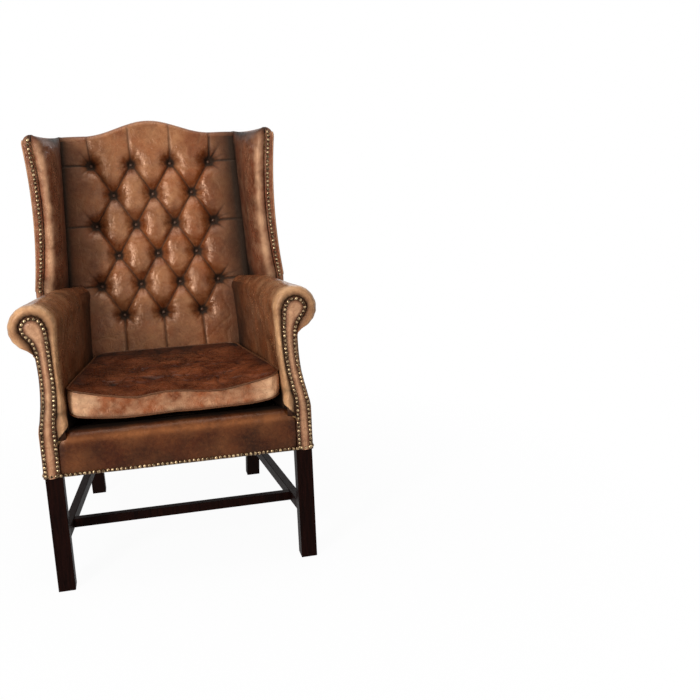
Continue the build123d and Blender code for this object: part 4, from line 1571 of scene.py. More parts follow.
    def panel(self) -> Object:
        """The leather panel outside the arm.

        Returns:
            The panel.
        """
        s = self.shape
        far = float(s.back_y(s.apron_bottom, s.post_rear))
        depths = np.linspace(0, 700, 90)
        t = np.arange(14)[:, None] / 14
        rows = []
        for inset, y in [(0.0, y) for y in depths] + [(s.cover, y) for y in depths[::-1]]:
            outer = float(s.side_x(y)) + s.cover - inset
            tuck = self.scroll_point(y, self.tuck)
            tuck[0] = min(tuck[0], outer + 6) if y > 374 else tuck[0]
            hollow = self.waist_side(y, outer, tuck, 24)[::-1]
            rail = mix(np.array([[outer, s.apron_bottom]]), np.array([[outer, s.fold_z]]), t)
            flat = np.vstack([rail, hollow[:-6]])
            # the hollow fades out before the back post
            flat[:, 0] = np.maximum(flat[:, 0], s.rear_half + s.cover - inset - 30 * (1 - smooth(460, 540, y)))
            # the leather goes round the front post
            post = np.interp(flat[:, 1], *zip(*self.post_line))
            flat[:, 0] = np.maximum(flat[:, 0], post - inset * 0.2 - 90 * unit((y - 34) / 56))
            rows.append(at_depth(flat, np.minimum(y, s.back_y(flat[:, 1], s.post_rear))))
        points = np.vstack(rows)
        points[:, 0] += 0.6 * blotch(points, 70, 31)
        # painted shade under the scroll and at the foot of the panel
        shade = 0.45 * smooth(590, 625, points[:, 2]) + 0.2 * smooth(330, 306, points[:, 2])
        wear = 0.2 + 0.3 * blotch(points, 60, 13) + 0.35 * hill(points[:, 1], 0, 16)
        panel = make_piece(
            f"arm_outside_{self.side.word}",
            self.flip(points),
            slab_faces(len(rows), len(rows[0])),
            self.finish.arm,
            layers=looks(shade, wear),
            replaces=[f"outside_arm_{self.side.word}"],
            slot="brown_leather",
        )
        low = s.apron_bottom + 6
        y = np.linspace(6, far - 6, 60)
        path = np.stack([s.side_x(y) + s.cover + 0.2, y, np.full_like(y, low)], axis=1)
        outward = np.array([self.side.value, 0.0, 0.0])
        NailRow(self.finish).build(f"side_nails_{self.side.word}", self.flip(path), outward)
        return panel


# ---------------------------------------------------------------- wings


@dataclass
class Wing:
    """A padded wing: lined inner side, front strip with nails and outside panel."""

    shape: ChairShape
    finish: Finishes
    side: Side
    foot_z: float = 712
    waist_z: float = 931
    top_z: float = 1123
    low_z: float = 627
    outers: tuple[float, float, float] = (342, 324, 332)
    seams: tuple[float, float, float] = (322, 299.5, 309.5)
    nails: tuple[float, float, float] = (330.5, 308.5, 317.5)
    fronts: tuple[float, float] = (374, 348)
    root: float = 16
    top_round: float = 28
    edge_round: float = 20
    welt_radius: float = 2.6
    # numbers of the outline's points: the padded side's last, the strip's first and the outside's first and last
    seam_point: int = 43
    strip_point: int = 46
    side_point: int = 55
    rear_point: int = 75

    def curve(self, values: Sequence[float], z: float) -> float:
        """Smooth run through the foot, waist and top values.

        Args:
            values: at the foot, the waist and near the top.
            z: the height.

        Returns:
            The value at that height.
        """
        a, b, c = self.foot_z, self.waist_z, self.top_z - 18
        z = min(max(z, a), c)
        return (
            values[0] * (z - b) * (z - c) / ((a - b) * (a - c))
            + values[1] * (z - a) * (z - c) / ((b - a) * (b - c))
            + values[2] * (z - a) * (z - b) / ((c - a) * (c - b))
        )

    def front(self, z: float) -> float:
        """Depth of the wing's front at height z."""
        share = min(max((z - self.foot_z) / (self.top_z - self.foot_z), 0), 1)
        return mix(self.fronts[0], self.fronts[1], share)

    def section(self, z: float, inset: float = 0.0, edge_inset: float = 0.0) -> Array:
        """Level outline of the wing, as x and y rows, drawn in near the top.

        Args:
            z: its height.
            inset: how far the padded side is drawn in.
            edge_inset: how far the outer edge is drawn in.

        Returns:
            The outline.
        """
        s = self.shape
        outer, seam, front = self.curve(self.outers, z), self.curve(self.seams, z), self.front(z)
        root_x = float(s.wall_x(z)) + 0.5 + inset * 0.1
        root_y = float(s.back_y(z, self.root))
        rear_y = float(s.back_y(z, s.post_front))
        back_y = float(s.back_y(z, s.post_rear))
        edge = s.rear_half + s.cover
        t = np.linspace(0, 1, self.seam_point + 1)[:, None]
        # one rounded side from the back's wall, over the front roll, to the seam
        guides = (
            np.array([root_x, root_y]),
            np.array([root_x - 5 + inset * 0.6, front + 70]),
            np.array([seam - 42 + inset, front - 33 + inset * 1.3]),
            np.array([seam - 0.5, front + 2 + inset * 0.8]),
        )
        shares = ((1 - t) ** 3, 3 * t * (1 - t) ** 2, 3 * t**2 * (1 - t), t**3)
        padded = sum(share * guide for share, guide in zip(shares, guides))
        seam_dip = np.array([[seam, front + 4 + edge_inset], [seam + 0.8, front + 1.0 + edge_inset]])
        strip = np.array(
            [
                [mix(seam + 1.5, outer - edge_inset, k / 8), front + edge_inset - 2.2 * math.sin(math.pi * k / 8)]
                for k in range(8)
            ]
        )
        corner = np.array([[outer - edge_inset, front + 3 + edge_inset]])
        outside = mix(
            np.array([[outer - edge_inset, front + 5 + edge_inset]]),
            np.array([[edge - edge_inset, rear_y]]),
            (np.arange(21) / (self.rear_point - self.side_point))[:, None],
        )
        tail_x = max(s.rear_half - 6 - edge_inset, root_x + 1)
        tail = np.array(
            [
                [edge - edge_inset, back_y],
                [tail_x, back_y],
                [tail_x, rear_y],
                [root_x, rear_y],
            ]
        )
        return np.vstack([padded, seam_dip, strip, corner, outside, tail])

    def build(self) -> Object:
        """Builds the wing, its welt and its nails.

        Returns:
            The wing.
        """
        s = self.shape
        loops, depths = [], []
        start = self.top_z - self.top_round
        for z in np.linspace(self.low_z, start, 80):
            flat = self.section(z)
            loops.append(np.column_stack([flat, np.full(len(flat), z)]))
            depths.append(0.0)
        for i in range(1, 13):
            turn = i / 12 * math.pi / 2
            flat = self.section(start, self.top_round * (1 - math.cos(turn)), self.edge_round * (1 - math.cos(turn)))
            loops.append(np.column_stack([flat, np.full(len(flat), start + self.top_round * math.sin(turn))]))
            depths.append(i / 12)
        points = np.vstack(loops)
        count = len(loops[0])
        number = np.tile(np.arange(count), len(loops))
        soft = number < self.seam_point
        creased = wrinkle(points, 80, 45)
        push = (1.8 * blotch(points, 60, 41) + 0.7 * blotch(points, 20, 43) - 1.5 * creased) * soft
        fade = unit(number / 6) * unit((self.seam_point - number) / 6)
        points[:, 0] -= push * 0.8 * fade
        points[:, 1] -= push * 0.5 * fade * (number > 20)
        sunk = (12 * np.sin(unit(number / 40) * math.pi) + 5 * unit(1 - number / 20)) * soft
        rearward = unit((number - self.side_point) / 20)
        sunk += 5 * np.sin(rearward * math.pi) + 6 * rearward
        sunk += np.interp(number, np.arange(count - 5, count), [0, 1, 3, 5, 7])
        points[:, 2] -= sunk * smooth(1010, self.top_z, points[:, 2])
        high = np.repeat(depths, count)
        # painted shade: at the root against the back, in the seam by the strip, beside the nails, low where the wing
        # meets the arm and on the inner side
        shade = 0.85 * np.exp(-number / 5.0) * soft * smooth(1105, 1070, points[:, 2])
        shade += 0.75 * ((number >= self.seam_point) & (number < self.strip_point))
        shade += 0.55 * hill(number, 48, 1.6) + 0.45 * unit(1 - (points[:, 2] - 700) / 50) * soft
        shade += 0.3 * hill(number, 10, 8.0) * soft + 0.08 * creased
        # paler along the front roll by the seam: worn, and a painted highlight
        wear = 0.85 * hill(number, 36, 5.0) * (0.8 + 0.6 * blotch(points, 40, 47))
        wear *= smooth(1112, 1075, points[:, 2])
        wear += 0.05 + 0.3 * blotch(points, 45, 49) + 0.2 * blotch(points, 15, 50)
        # painted shade over the rounded top
        shade += 0.5 * unit(1.6 * high) + 0.25 * smooth(1060, 1100, points[:, 2]) * soft
        faces = grid_faces(len(loops), count, closed=True)
        faces.append(tuple(reversed(range(count))))
        # the top is closed from the padded side straight across to the outside
        last = (len(loops) - 1) * count
        seam, side, rear = self.seam_point, self.side_point, self.rear_point
        for i in range(seam):
            far, further = (last + rear - round(k * (rear - side) / seam) for k in (i, i + 1))
            faces.append((last + i, last + i + 1, further, far) if far != further else (last + i, last + i + 1, far))
        faces.append(tuple(last + n for n in range(seam, side + 1)))
        faces.append(tuple(last + n % count for n in range(rear, count + 1)))
        wing = make_piece(
            f"wing_{self.side.word}",
            points * np.array([self.side.value, 1, 1]),
            faces,
            self.finish.wing,
            layers=looks(shade, wear),
            replaces=[f"wing_pad_{self.side.word}", f"wing_outside_{self.side.word}"],
            slot="brown_leather",
        )
        nail_path, welt = [], []
        for z in np.linspace(self.foot_z - 4, self.top_z - 14, 60):
            front = self.front(z)
            over = max(0.0, z - start)
            back_off = over**2 / (2 * self.top_round) * self.edge_round / self.top_round
            nail_path.append((self.side.value * (self.curve(self.nails, z) - back_off), front - 1.6 + back_off, z))
            welt.append((self.side.value * (self.curve(self.outers, z) - 1.4 - back_off), front + 1.0 + back_off, z))
        NailRow(self.finish).build(f"wing_nails_{self.side.word}", np.array(nail_path), FORWARD)
        layers = {"wear": 0.5, "shade": 0.0}
        tube(f"wing_welt_{self.side.word}", np.array(welt), self.welt_radius, self.finish.wing, layers=layers)
        return wing


# ---------------------------------------------------------------- seat


@dataclass
class FrontBorder:
    """The smooth padded border under the cushion with its rounded lip and nails."""

    shape: ChairShape
    finish: Finishes
    half: float = 294
    lip_top: float = 415
    lip_depth: float = 62
    lip_round: float = 31
    proud: float = 5

    def build(self) -> Object:
        """Builds the border.

        Returns:
            The border.
        """
        s = self.shape
        low = s.apron_bottom
        shoulder = self.lip_top - self.lip_round
        profile = [(0, low + 0.2), (-self.proud + 0.8, low), (-self.proud, low + 2)]
        for k in range(1, 14):
            t = k / 14
            profile.append((-self.proud - 2.2 * math.sin(math.pi * t), mix(low + 2, shoulder, t)))
        for k in range(0, 19):
            turn = k / 18 * math.pi / 2
            back = self.lip_round * (1 - math.cos(turn))
            profile.append((-self.proud + back, shoulder + self.lip_round * math.sin(turn)))
        profile += [(36, self.lip_top + 0.3), (self.lip_depth, self.lip_top - 3), (self.lip_depth, s.rail_top + 1)]
        profile.append((0, s.rail_top - 6))
        rows = []
        xs = np.linspace(-1, 1, 181)
        for share in xs:
            row = []
            for y, z in profile:
                wide = min(self.half, 292 - max(z - 397, 0) * 0.8)
                wide = mix(wide, min(wide, 262), smooth(15, 50, y))
                end = smooth(0.94, 1.0, abs(share))
                row.append((share * wide, y + 3.0 * end * (y < 24), z - 2.0 * end * (z > 385)))
            rows.append(np.array(row))
        points = np.vstack(rows)
        front = points[:, 1] < 25
        creased = wrinkle(points, 100, 63)
        points[:, 1] -= (1.1 * blotch(points, 55, 61) - 1.2 * creased) * front
        count = len(profile)
        # painted shade on the top behind the lip, at the foot and at the ends, with random darker patches
        shade = 0.95 * smooth(6, 24, points[:, 1]) + 0.3 * smooth(340, 306, points[:, 2]) + 0.1 * creased
        shade += 0.4 * smooth(0.955, 1.0, np.abs(np.repeat(xs, count))) + 0.2 * unit(blotch(points, 60, 67))
        wear = 0.55 * hill(points[:, 2], 396, 9) + 0.4 * blotch(points, 70, 65) + 0.12
        border = loft(
            "front_border_leather",
            list(points.reshape(len(xs), count, 3)),
            self.finish.border,
            layers=looks(shade, wear),
            replaces=["front_border"],
            slot="brown_leather",
        )
        x = np.linspace(-self.half - 32, self.half + 32, 100)
        path = np.stack([x, np.full_like(x, -self.proud - 0.8), np.full_like(x, low + 5.6)], axis=1)
        NailRow(self.finish).build("border_nails", path, FORWARD)
        return border


@dataclass
class SeatCushion:
    """The loose box cushion: creased top, bulging band and piping on both seams."""

    shape: ChairShape
    finish: Finishes
    front_y: float = 14
    back_y: float = 526
    corner: float = 34
    gap: float = 4
    back_top: float = 487
    back_low: float = 428
    crown: float = 10
    seam_half: float = 266  # of the seams' tables
    width_half: float = 262  # of the cushion at its front
    bulge: float = 4.5  # of the band
    piping_radius: float = 2.4
    tuft_depth: float = 4.0
    tuft_reach: float = 34
    tuft_folds: int = 5
    cap: float = 9.0  # the most that the cloth may swell
    frames: int = 20
    cloth: tuple[tuple[str, object], ...] = (
        ("vertex_group_mass", "seams"),
        ("use_pressure", True),
        ("uniform_pressure_force", 4.0),
        ("mass", 0.5),
        ("tension_stiffness", 12),
        ("compression_stiffness", 12),
        ("shear_stiffness", 6),
        ("bending_stiffness", 0.6),
        ("quality", 5),
    )
    # height of each seam along the front, as x and z
    top_seam: Table = (
        (-266, 513), (-241, 510), (-184, 496), (-125, 485), (-96, 482), (-65, 486), (-35, 490), (-4, 490),
        (26, 487), (57, 483), (88, 480), (119, 480), (151, 485), (183, 491), (215, 497), (248, 505), (266, 511),
    )  # fmt: skip
    low_seam: Table = (
        (-266, 452), (-247, 447), (-189, 439), (-130, 434), (-70, 435), (-8, 437), (53, 435), (116, 436),
        (180, 437), (212, 440), (245, 446), (266, 452),
    )  # fmt: skip
    # old tuft marks in the top, as x and y
    tufts: Table = (
        (-150, 150), (-20, 175), (118, 150), (-95, 268), (38, 285), (165, 262), (-165, 385), (-30, 398), (105, 390),
    )  # fmt: skip

    def half(self, y: float) -> float:
        """Half the cushion's width at depth y."""
        return float(self.shape.arm_station(y)[0]) - self.gap - 3

    def outline(self, count: int) -> Array:
        """The seam's plan as x and y rows, front left corner first.

        Args:
            count: points round the seam.

        Returns:
            The plan.
        """
        front, back, r = self.front_y + 3, self.back_y - 3, self.corner
        corners = []
        for cx, cy, start in (
            (-self.half(front) + r, front + r, 180),
            (self.half(front) - r, front + r, 270),
            (self.half(back) - r, back - r, 0),
            (-self.half(back) + r, back - r, 90),
        ):
            for angle in np.linspace(start, start + 90, 12):
                turn = math.radians(angle)
                corners.append((cx + r * math.cos(turn), cy + r * math.sin(turn)))
        return resample(np.array(corners), count, closed=True)

    def lift(self, x: Array, y: Array, top: bool) -> Array:
        """Height of the top or bottom panel before it is puffed.

        Args:
            x: places across.
            y: depths.
            top: the top panel, or the bottom one.

        Returns:
            The heights.
        """
        share = smooth(self.front_y, self.back_y, y)
        spread = x * self.width_half / np.maximum(self.width_half - 0.11 * y, 100)
        table = np.array(self.top_seam if top else self.low_seam)
        fine = np.linspace(-self.seam_half, self.seam_half, 134)
        level = np.interp(fine, table[:, 0], table[:, 1])
        for _ in range(4):
            level[1:-1] = 0.25 * level[:-2] + 0.5 * level[1:-1] + 0.25 * level[2:]
        return mix(np.interp(spread, fine, level), self.back_top if top else self.back_low, share)

    def layout(self, finer: int) -> tuple[Array, int, int, Array]:
        """The cushion as rows of points, from the middle of its top to the middle of its underside.

        Args:
            finer: 1 for the cloth simulation and 2 for the finished mesh.

        Returns:
            The rows, the top seam's row, the bottom seam's row, and outward directions along the seam.
        """
        count, rings, band, under = 210 * finer, 33 * finer, 11 * finer, 10 * finer
        seam = self.outline(count)
        middle = np.array([0.0, mix(self.front_y, self.back_y, 0.5)])
        out = seam - middle
        out /= np.linalg.norm(out, axis=1)[:, None]
        rows = []
        for k in range(rings + 1):
            share = (k + 0.35) / (rings + 0.35)
            flat = middle + (seam - middle) * share
            rows.append(np.column_stack([flat, self.lift(*flat.T, True) + self.crown * (1 - share**2.5)]))
        top, low = self.lift(*seam.T, True), self.lift(*seam.T, False)
        for k in range(1, band):
            t = k / band
            rows.append(np.column_stack([seam + out * self.bulge * math.sin(math.pi * t) ** 0.7, mix(top, low, t)]))
        for k in range(under + 1):
            share = (under - k + 0.35) / (under + 0.35)
            flat = middle + (seam - middle) * share
            rows.append(np.column_stack([flat, self.lift(*flat.T, False) - 1.0 * (1 - share**2.5)]))
        return np.array(rows), rings, rings + band, out

    def creases(self, cloud: Array) -> tuple[Array, Array]:
        """Old tuft dimples and the folds that run from them.

        Args:
            cloud: the cushion's points.

        Returns:
            How far each point is pressed in, and the painted shade of its tufts and folds.
        """
        x, y = cloud[:, 0] + 12 * blotch(cloud, 40, 101), cloud[:, 1] + 12 * blotch(cloud, 40, 103)
        press, dark = np.zeros(len(cloud)), np.zeros(len(cloud))
        random = np.random.default_rng(12)
        for tx, ty in self.tufts:
            reach = np.hypot(x - tx, y - ty)
            press += self.tuft_depth * hill(reach, 0, self.tuft_reach)
            dark += 0.15 * hill(reach, 0, 20)
            for i in range(self.tuft_folds):
                turn = i * 2 * math.pi / self.tuft_folds + random.uniform(-0.6, 0.6)
                length = random.uniform(50, 120)
                line = (tx, ty, tx + length * math.cos(turn), ty + length * math.sin(turn))
                away, t = ButtonedBack.distance(x, y, line)
                depth = random.uniform(1.6, 4.6) * (1 - t) ** 0.6 * smooth(0, 0.22, t)
                press += depth * (np.exp(-np.abs(away) / 5.4) - 0.6 * hill(away, 12, 7))
                dark += 0.2 * depth * hill(away, 0, 3.4)
        return press, dark

    def build(self) -> Object:
        """Builds the cushion with its cloth swelled between the seams, then creased.

        Returns:
            The cushion.
        """
        layout, first, last, out = self.layout(2)
        rows, count = layout.shape[:2]
        layout = layout + self.swell()
        cloud = layout.reshape(-1, 3)
        row = np.repeat(np.arange(rows), count)
        top = (row < first) * 1.0
        rim = unit((first - row) / 5.0)
        band = ((row > first) & (row < last)) * 1.0
        folds, small = wrinkle(cloud, 58, 71), wrinkle(cloud, 24, 73)
        press, dark = self.creases(cloud)
        cloud[:, 2] -= top * rim * (press + 2.2 * folds**1.5 + 1.0 * small**1.5 - 3.0 * blotch(cloud, 80, 75))
        puckers = np.sin(cloud[:, 0] * 0.33 + 2 * blotch(cloud, 50, 83)) * np.exp(-((first - row) / 7.0) ** 2)
        cloud[:, 2] += top * 0.9 * puckers * smooth(60, 30, cloud[:, 1])
        near = band * smooth(60, 30, cloud[:, 1])  # the band's front, which hands and legs rub
        mid = np.sin(unit((row - first) / (last - first)) * math.pi)
        cloud[:, 1] += near * mid * (2.2 * folds + 1.2 * small - 1.6 * blotch(cloud, 35, 77))
        # painted shade in the folds and tufts, on the underside, towards the sides and back of the top, and along the
        # band's back and foot
        shade = top * (0.22 * folds + 0.12 * small + dark) + (row > last) * 0.6
        edge = unit((np.abs(cloud[:, 0]) / np.maximum([self.half(y) for y in cloud[:, 1]], 1) - 0.88) / 0.12)
        shade += top * (0.6 * edge * smooth(50, 150, cloud[:, 1]) + 0.65 * smooth(420, 520, cloud[:, 1]))
        shade += band * (0.85 * smooth(30, 70, cloud[:, 1]) + 0.15 * folds)
        shade += 0.45 * band * smooth(last - 5.0, last, row)
        ends = 0.7 * smooth(165, 245, np.abs(cloud[:, 0]))
        wear = near * (0.2 + ends + 0.35 * blotch(cloud, 40, 79) + 0.3 * blotch(cloud, 13, 87))
        wear += top * (0.15 + 0.45 * blotch(cloud, 60, 81) + 0.3 * unit(-press / 2) + 0.2 * blotch(cloud, 15, 85))
        piece = make_piece(
            "seat_cushion_leather",
            cloud,
            skin_faces(rows, count),
            self.finish.cushion_top,
            Body.CUSHION,
            layers=looks(shade, wear),
            replaces=["seat_cushion"],
            slot="cushion_leather",
        )
        piece.data.materials.append(self.finish.cushion_band)
        kinds = np.zeros(len(piece.data.polygons), np.int32)
        kinds[first * count : last * count] = 1
        piece.data.polygons.foreach_set("material_index", kinds)
        for name, seam_row in (("top", first), ("bottom", last)):
            path = cloud.reshape(rows, count, 3)[seam_row].copy()
            path[:, :2] += out * 1.4
            tube(
                f"cushion_piping_{name}",
                path,
                self.piping_radius,
                self.finish.piping,
                Body.CUSHION,
                closed=True,
                layers={"wear": 0.3, "shade": 0.15},
            )
        return piece

    def swell(self) -> Array:
        """Blows the leather up between its pinned seams by cloth simulation.

        Returns:
            How far each point of the finished layout moves, in millimetres.
        """
        layout, first, last, _ = self.layout(1)
        rows, count = layout.shape[:2]
        cloud = layout.reshape(-1, 3)
        mesh = bpy.data.meshes.new("cushion_sim")
        mesh.from_pydata((cloud / 1000).tolist(), [], skin_faces(rows, count))
        work = add_object("cushion_sim", mesh)
        row = np.repeat(np.arange(rows), count)
        held = work.vertex_groups.new(name="seams")
        held.add([int(i) for i in np.nonzero((row == first) | (row >= last))[0]], 1.0, "REPLACE")
        modifier = work.modifiers.new("swell", "CLOTH")
        for key, value in self.cloth:
            setattr(modifier.settings, key, value)
        modifier.settings.effector_weights.gravity = 0
        scene = bpy.context.scene
        modifier.point_cache.frame_end = self.frames
        for frame in range(1, self.frames + 1):
            scene.frame_set(frame)
        settled = work.evaluated_get(bpy.context.evaluated_depsgraph_get())
        flat = np.zeros(len(mesh.vertices) * 3, np.float32)
        settled.data.vertices.foreach_get("co", flat)
        scene.frame_set(1)
        bpy.data.objects.remove(work)
        moved = np.nan_to_num(flat.reshape(-1, 3).astype(float) * 1000 - cloud)
        length = np.linalg.norm(moved, axis=1)[:, None]
        moved *= np.minimum(1.0, self.cap / np.maximum(length, 1e-6))
        log.info("cushion swelled by up to %.1f mm", float(length.max()))
        moved = moved.reshape(rows, count, 3)
        fine = np.empty((2 * rows - 1, count, 3))
        fine[::2] = moved
        fine[1::2] = 0.5 * (moved[:-1] + moved[1:])
        finest = np.empty((2 * rows - 1, 2 * count, 3))
        finest[:, ::2] = fine
        finest[:, 1::2] = 0.5 * (fine + np.roll(fine, -1, axis=1))
        return finest


# ---------------------------------------------------------------- woodwork and inside


@dataclass
class Woodwork:
    """Legs and stretchers with softened corners, and finishes for the hidden frame."""

    finish: Finishes
    nodes: dict[str, Object]
    corner: float = 0.0018

    def build(self) -> None:
        """Softens the show wood and dresses every other node."""
        for name in ("front_leg", "rear_leg", "side_stretcher"):
            for side in Side:
                self.soften(f"{name}_{side.word}")
        self.soften("cross_stretcher")
        f = self.finish
        hidden = (
            (("leg", "stretcher"), f.wood),
            (("rail", "corner_blocks", "arm_stump", "wing_upright"), f.beech),
            (("deck_cover",), f.dark_leather),
            (("webbing", "seat_hessian"), f.jute),
            (("seat_stuffing",), f.felt),
            (("bottom_cloth",), f.black_cloth),
            (("button_twines",), f.twine),
            (("seat_springs",), f.steel),
        )
        for name, node in self.nodes.items():
            material = next((m for words, m in hidden if any(word in name for word in words)), f.back)
            for slot in node.material_slots:
                slot.material = material

    def soften(self, name: str) -> Object:
        """Stands a copy with small rounded corners in a node's place.

        Args:
            name: the node.

        Returns:
            The copy.
        """
        mesh = self.nodes[name].data.copy()
        work = bmesh.new()
        work.from_mesh(mesh)
        bmesh.ops.remove_doubles(work, verts=work.verts, dist=1e-6)
        bmesh.ops.dissolve_limit(work, angle_limit=math.radians(1), verts=work.verts, edges=work.edges)
        sharp = [e for e in work.edges if len(e.link_faces) == 2 and e.calc_face_angle(0) > math.radians(25)]
        bmesh.ops.bevel(work, geom=sharp, offset=self.corner, segments=2, affect="EDGES", profile=0.6)
        work.to_mesh(mesh)
        work.free()
        mesh.name = f"{name}_polished"
        mesh.materials.clear()
        mesh.materials.append(self.finish.wood)
        piece = add_object(mesh.name, mesh)
        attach(piece, Body.CHAIR.value)
        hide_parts(name)
        return piece


@dataclass
class OutsideBack:
    """The leather panel over the rear of the back, with nails down both sides."""

    shape: ChairShape
    finish: Finishes
    columns: int = 90
    rows: int = 110
    nail_inset: float = 6

    def build(self) -> Object:
        """Builds the panel.

        Returns:
            The panel.
        """
        s = self.shape
        low = s.along(s.apron_bottom + 0.5) - (s.post_rear - 2.4) * math.tan(s.slope)
        columns, rows = self.columns, self.rows
        across = np.linspace(-1, 1, columns)
        x = across * (s.rear_half + s.cover)
        lines, inner = [], []
        for i in range(rows):
            up = mix(np.full(columns, low), s.crest_s(x) - 1.0, i / (rows - 1))
            puffed = 1.2 * (1 - across**8) * math.sin(math.pi * i / (rows - 1)) ** 0.3
            w = s.post_rear - s.cover - puffed * 0.4
            lines.append(s.on_back(x, up, w))
            inner.append(s.on_back(x, up, np.full(columns, s.post_rear)))
        points = np.vstack(lines + inner[::-1])
        wear = 0.2 + 0.3 * blotch(points, 90, 91) + 0.2 * blotch(points, 25, 93)
        panel = make_piece(
            "back_outside",
            points,
            slab_faces(2 * rows, columns),
            self.finish.wing,
            layers=looks(np.full(len(points), 0.08), wear),
            replaces=["outside_back"],
            slot="brown_leather",
        )
        square = np.array([0.0, math.cos(s.slope), -math.sin(s.slope)])
        for side in Side:
            up = np.linspace(low + self.nail_inset, s.along(s.shoulder_top) - self.nail_inset, 90)
            x = np.full_like(up, side.value * (s.rear_half + s.cover - self.nail_inset))
            path = s.on_back(x, up, np.full_like(up, s.post_rear - s.cover - 0.2))
            NailRow(self.finish).build(f"back_nails_{side.word}", path, square)
        x = np.linspace(-s.rear_half + 2, s.rear_half - 2, 90)
        path = s.on_back(x, np.full_like(x, low + self.nail_inset), np.full_like(x, s.post_rear - s.cover - 0.3))
        NailRow(self.finish).build("back_nails_low", path, square)
        return panel


# ---------------------------------------------------------------- room, lamps and camera


@dataclass(frozen=True)
class Photographer:
    """Where the camera stood: measured from the picture's edges of the chair."""

    place: tuple[float, float, float] = (-71.3, -2170.4, 1085.6)
    yaw: float = 13.33
    pitch: float = 13.36
    roll: float = -2.13
    focal_px: float = 893.9
    picture_px: float = 700.0
    sensor_mm: float = 36.0

    def build(self) -> Object:
        """Sets the camera up.

        Returns:
            The camera.
        """
        data = bpy.data.cameras.new("camera")
        data.sensor_width = self.sensor_mm
        data.lens = self.focal_px / self.picture_px * self.sensor_mm
        data.clip_start = 0.05
        data.clip_end = 60
        yaw, pitch, roll = (math.radians(v) for v in (self.yaw, self.pitch, self.roll))
        forward = Vector((math.sin(yaw) * math.cos(pitch), math.cos(yaw) * math.cos(pitch), -math.sin(pitch)))
        right = Vector((math.cos(yaw), -math.sin(yaw), 0))
        up = right.cross(forward)
        tilted = math.cos(roll) * right + math.sin(roll) * up
        upright = -math.sin(roll) * right + math.cos(roll) * up
        camera = add_object("camera", data)
        matrix = camera.matrix_world.to_3x3()
        for i in range(3):
            matrix[i][0], matrix[i][1], matrix[i][2] = tilted[i], upright[i], -forward[i]
        camera.matrix_world = matrix.to_4x4()
        camera.location = Vector(to_row(np.array([self.place]))[0])
        bpy.context.scene.camera = camera
        return camera


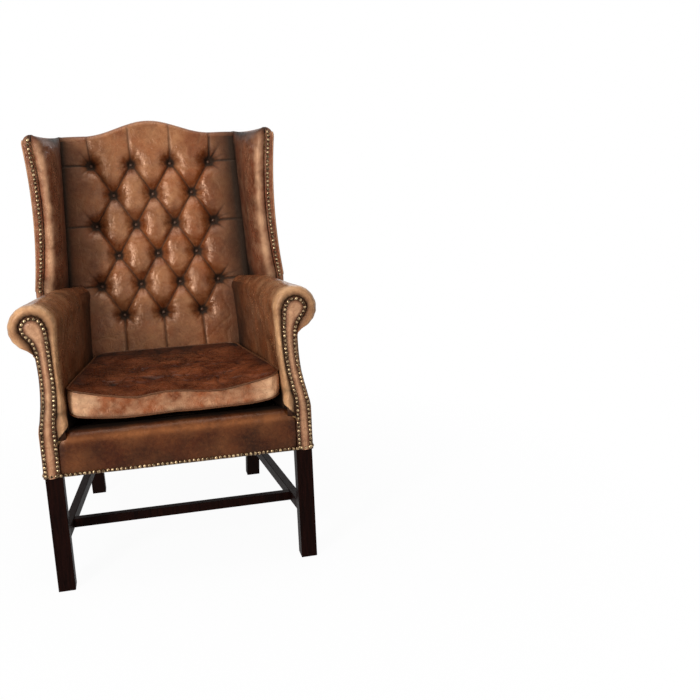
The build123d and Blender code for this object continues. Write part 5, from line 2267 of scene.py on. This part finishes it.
@dataclass
class Studio:
    """A white floor and surround with large soft lamps."""

    white: str = "#ffffff"
    paint: tuple[float, ...] = (0.86, 0.86, 0.86, 1)
    daylight: tuple[float, ...] = (0.95, 0.97, 1.0, 1)
    floor_half: float = 14
    ambient: float = 0.14  # strength of the surround's light
    fade: tuple[float, ...] = (0.4, 1.5, 0.955, 1.0)  # distances between which the floor fades to plain white
    # name, place, height it points at, sides, watts
    lamps: tuple[tuple, ...] = (
        ("key", (-1.8, -2.5, 1.5), 0.75, (0.55, 1.6), 82),
        ("fill", (1.6, -3.0, 1.5), 0.65, (2.0, 2.0), 16),
        ("top", (-0.3, -0.4, 3.3), 0.6, (2.0, 2.0), 38),
        ("rear", (0.8, 2.8, 2.2), 0.7, (2.0, 2.0), 14),
    )

    def build(self) -> None:
        """Builds the floor, the surround and the lamps."""
        self.floor()
        self.surround()
        for lamp in self.lamps:
            self.lamp(*lamp)

    @staticmethod
    def background_rays(recipe: Recipe) -> Socket:
        """One for the rays that show the background: to the camera, in a gloss and through glass.

        Args:
            recipe: the material's or the world's nodes.

        Returns:
            The socket that gives it.
        """
        path = recipe.add("LightPath").outputs
        shown = path["Is Camera Ray"]
        for kind in ("Is Glossy Ray", "Is Transmission Ray"):
            shown = recipe.math("MAXIMUM", shown, path[kind])
        return shown

    def floor(self) -> Object:
        """The floor, white to the camera and plain under the lamps.

        Returns:
            The floor.
        """
        mesh = bpy.data.meshes.new("floor")
        far = self.floor_half
        mesh.from_pydata([(-far, -far, 0), (far, -far, 0), (far, far, 0), (-far, far, 0)], [], [(0, 1, 2, 3)])
        material = bpy.data.materials.new("floor_white")
        material.use_nodes = True
        boards = Recipe(material.node_tree)
        paint = boards.add("BsdfPrincipled", {"Base Color": self.paint, "Roughness": 0.9})
        glow = boards.add("Emission", {"Color": hex_to_linear(self.white), "Strength": 1.0})
        reach = boards.add("VectorMath", {0: boards.place()}, operation="LENGTH").outputs["Value"]
        # the shadow shows near the chair, and the floor is plain white further out
        share = boards.math("MULTIPLY", self.background_rays(boards), boards.ramp(reach, *self.fade))
        mixed = boards.add("MixShader", {0: share, 1: paint.outputs[0], 2: glow.outputs[0]})
        boards.add("OutputMaterial", {"Surface": mixed.outputs[0]})
        mesh.materials.append(material)
        floor = add_object("floor", mesh)
        return floor

    def surround(self) -> None:
        """The white surround, seen at full strength and lighting at a plain level."""
        world = bpy.data.worlds.new("surround")
        bpy.context.scene.world = world
        world.use_nodes = True
        sky = Recipe(world.node_tree)
        seen = sky.add("Background", {"Color": hex_to_linear(self.white), "Strength": 1.0})
        light = sky.add("Background", {"Color": self.daylight, "Strength": self.ambient})
        mixed = sky.add("MixShader", {0: self.background_rays(sky), 1: light.outputs[0], 2: seen.outputs[0]})
        sky.add("OutputWorld", {"Surface": mixed.outputs[0]})

    def lamp(
        self, name: str, place: Sequence[float], height: float, sides: tuple[float, float], watts: float
    ) -> Object:
        """Hangs one soft oblong lamp.

        Args:
            name: the lamp's name.
            place: where it hangs, in metres.
            height: of the spot over the floor's middle that it points at.
            sides: its width and height.
            watts: its power.

        Returns:
            The lamp.
        """
        data = bpy.data.lights.new(name, "AREA")
        data.shape = "RECTANGLE"
        data.size, data.size_y = sides
        data.energy = watts
        lamp = add_object(name, data)
        lamp.location = place
        lamp.rotation_euler = (Vector((0, 0, height)) - Vector(place)).to_track_quat("-Z", "Y").to_euler()
        return lamp


def main() -> None:
    """Dresses the whole chair."""
    logging.basicConfig(level=logging.INFO, format="%(name)s: %(message)s")
    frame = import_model()
    bpy.context.scene.view_settings.view_transform = "Standard"
    shape = ChairShape()
    finish = Finishes()
    Photographer().build()
    Studio().build()
    log.info("camera and studio ready")
    Woodwork(finish, frame["nodes"]).build()
    log.info("woodwork ready")
    ButtonedBack(shape, finish).build()
    log.info("buttoned back ready")
    for side in Side:
        RolledArm(shape, finish, side).build()
        Wing(shape, finish, side).build()
        log.info("%s arm and wing ready", side.word)
    OutsideBack(shape, finish).build()
    FrontBorder(shape, finish).build()
    SeatCushion(shape, finish).build()
    log.info("seat ready")


if __name__ == "__main__":
    main()
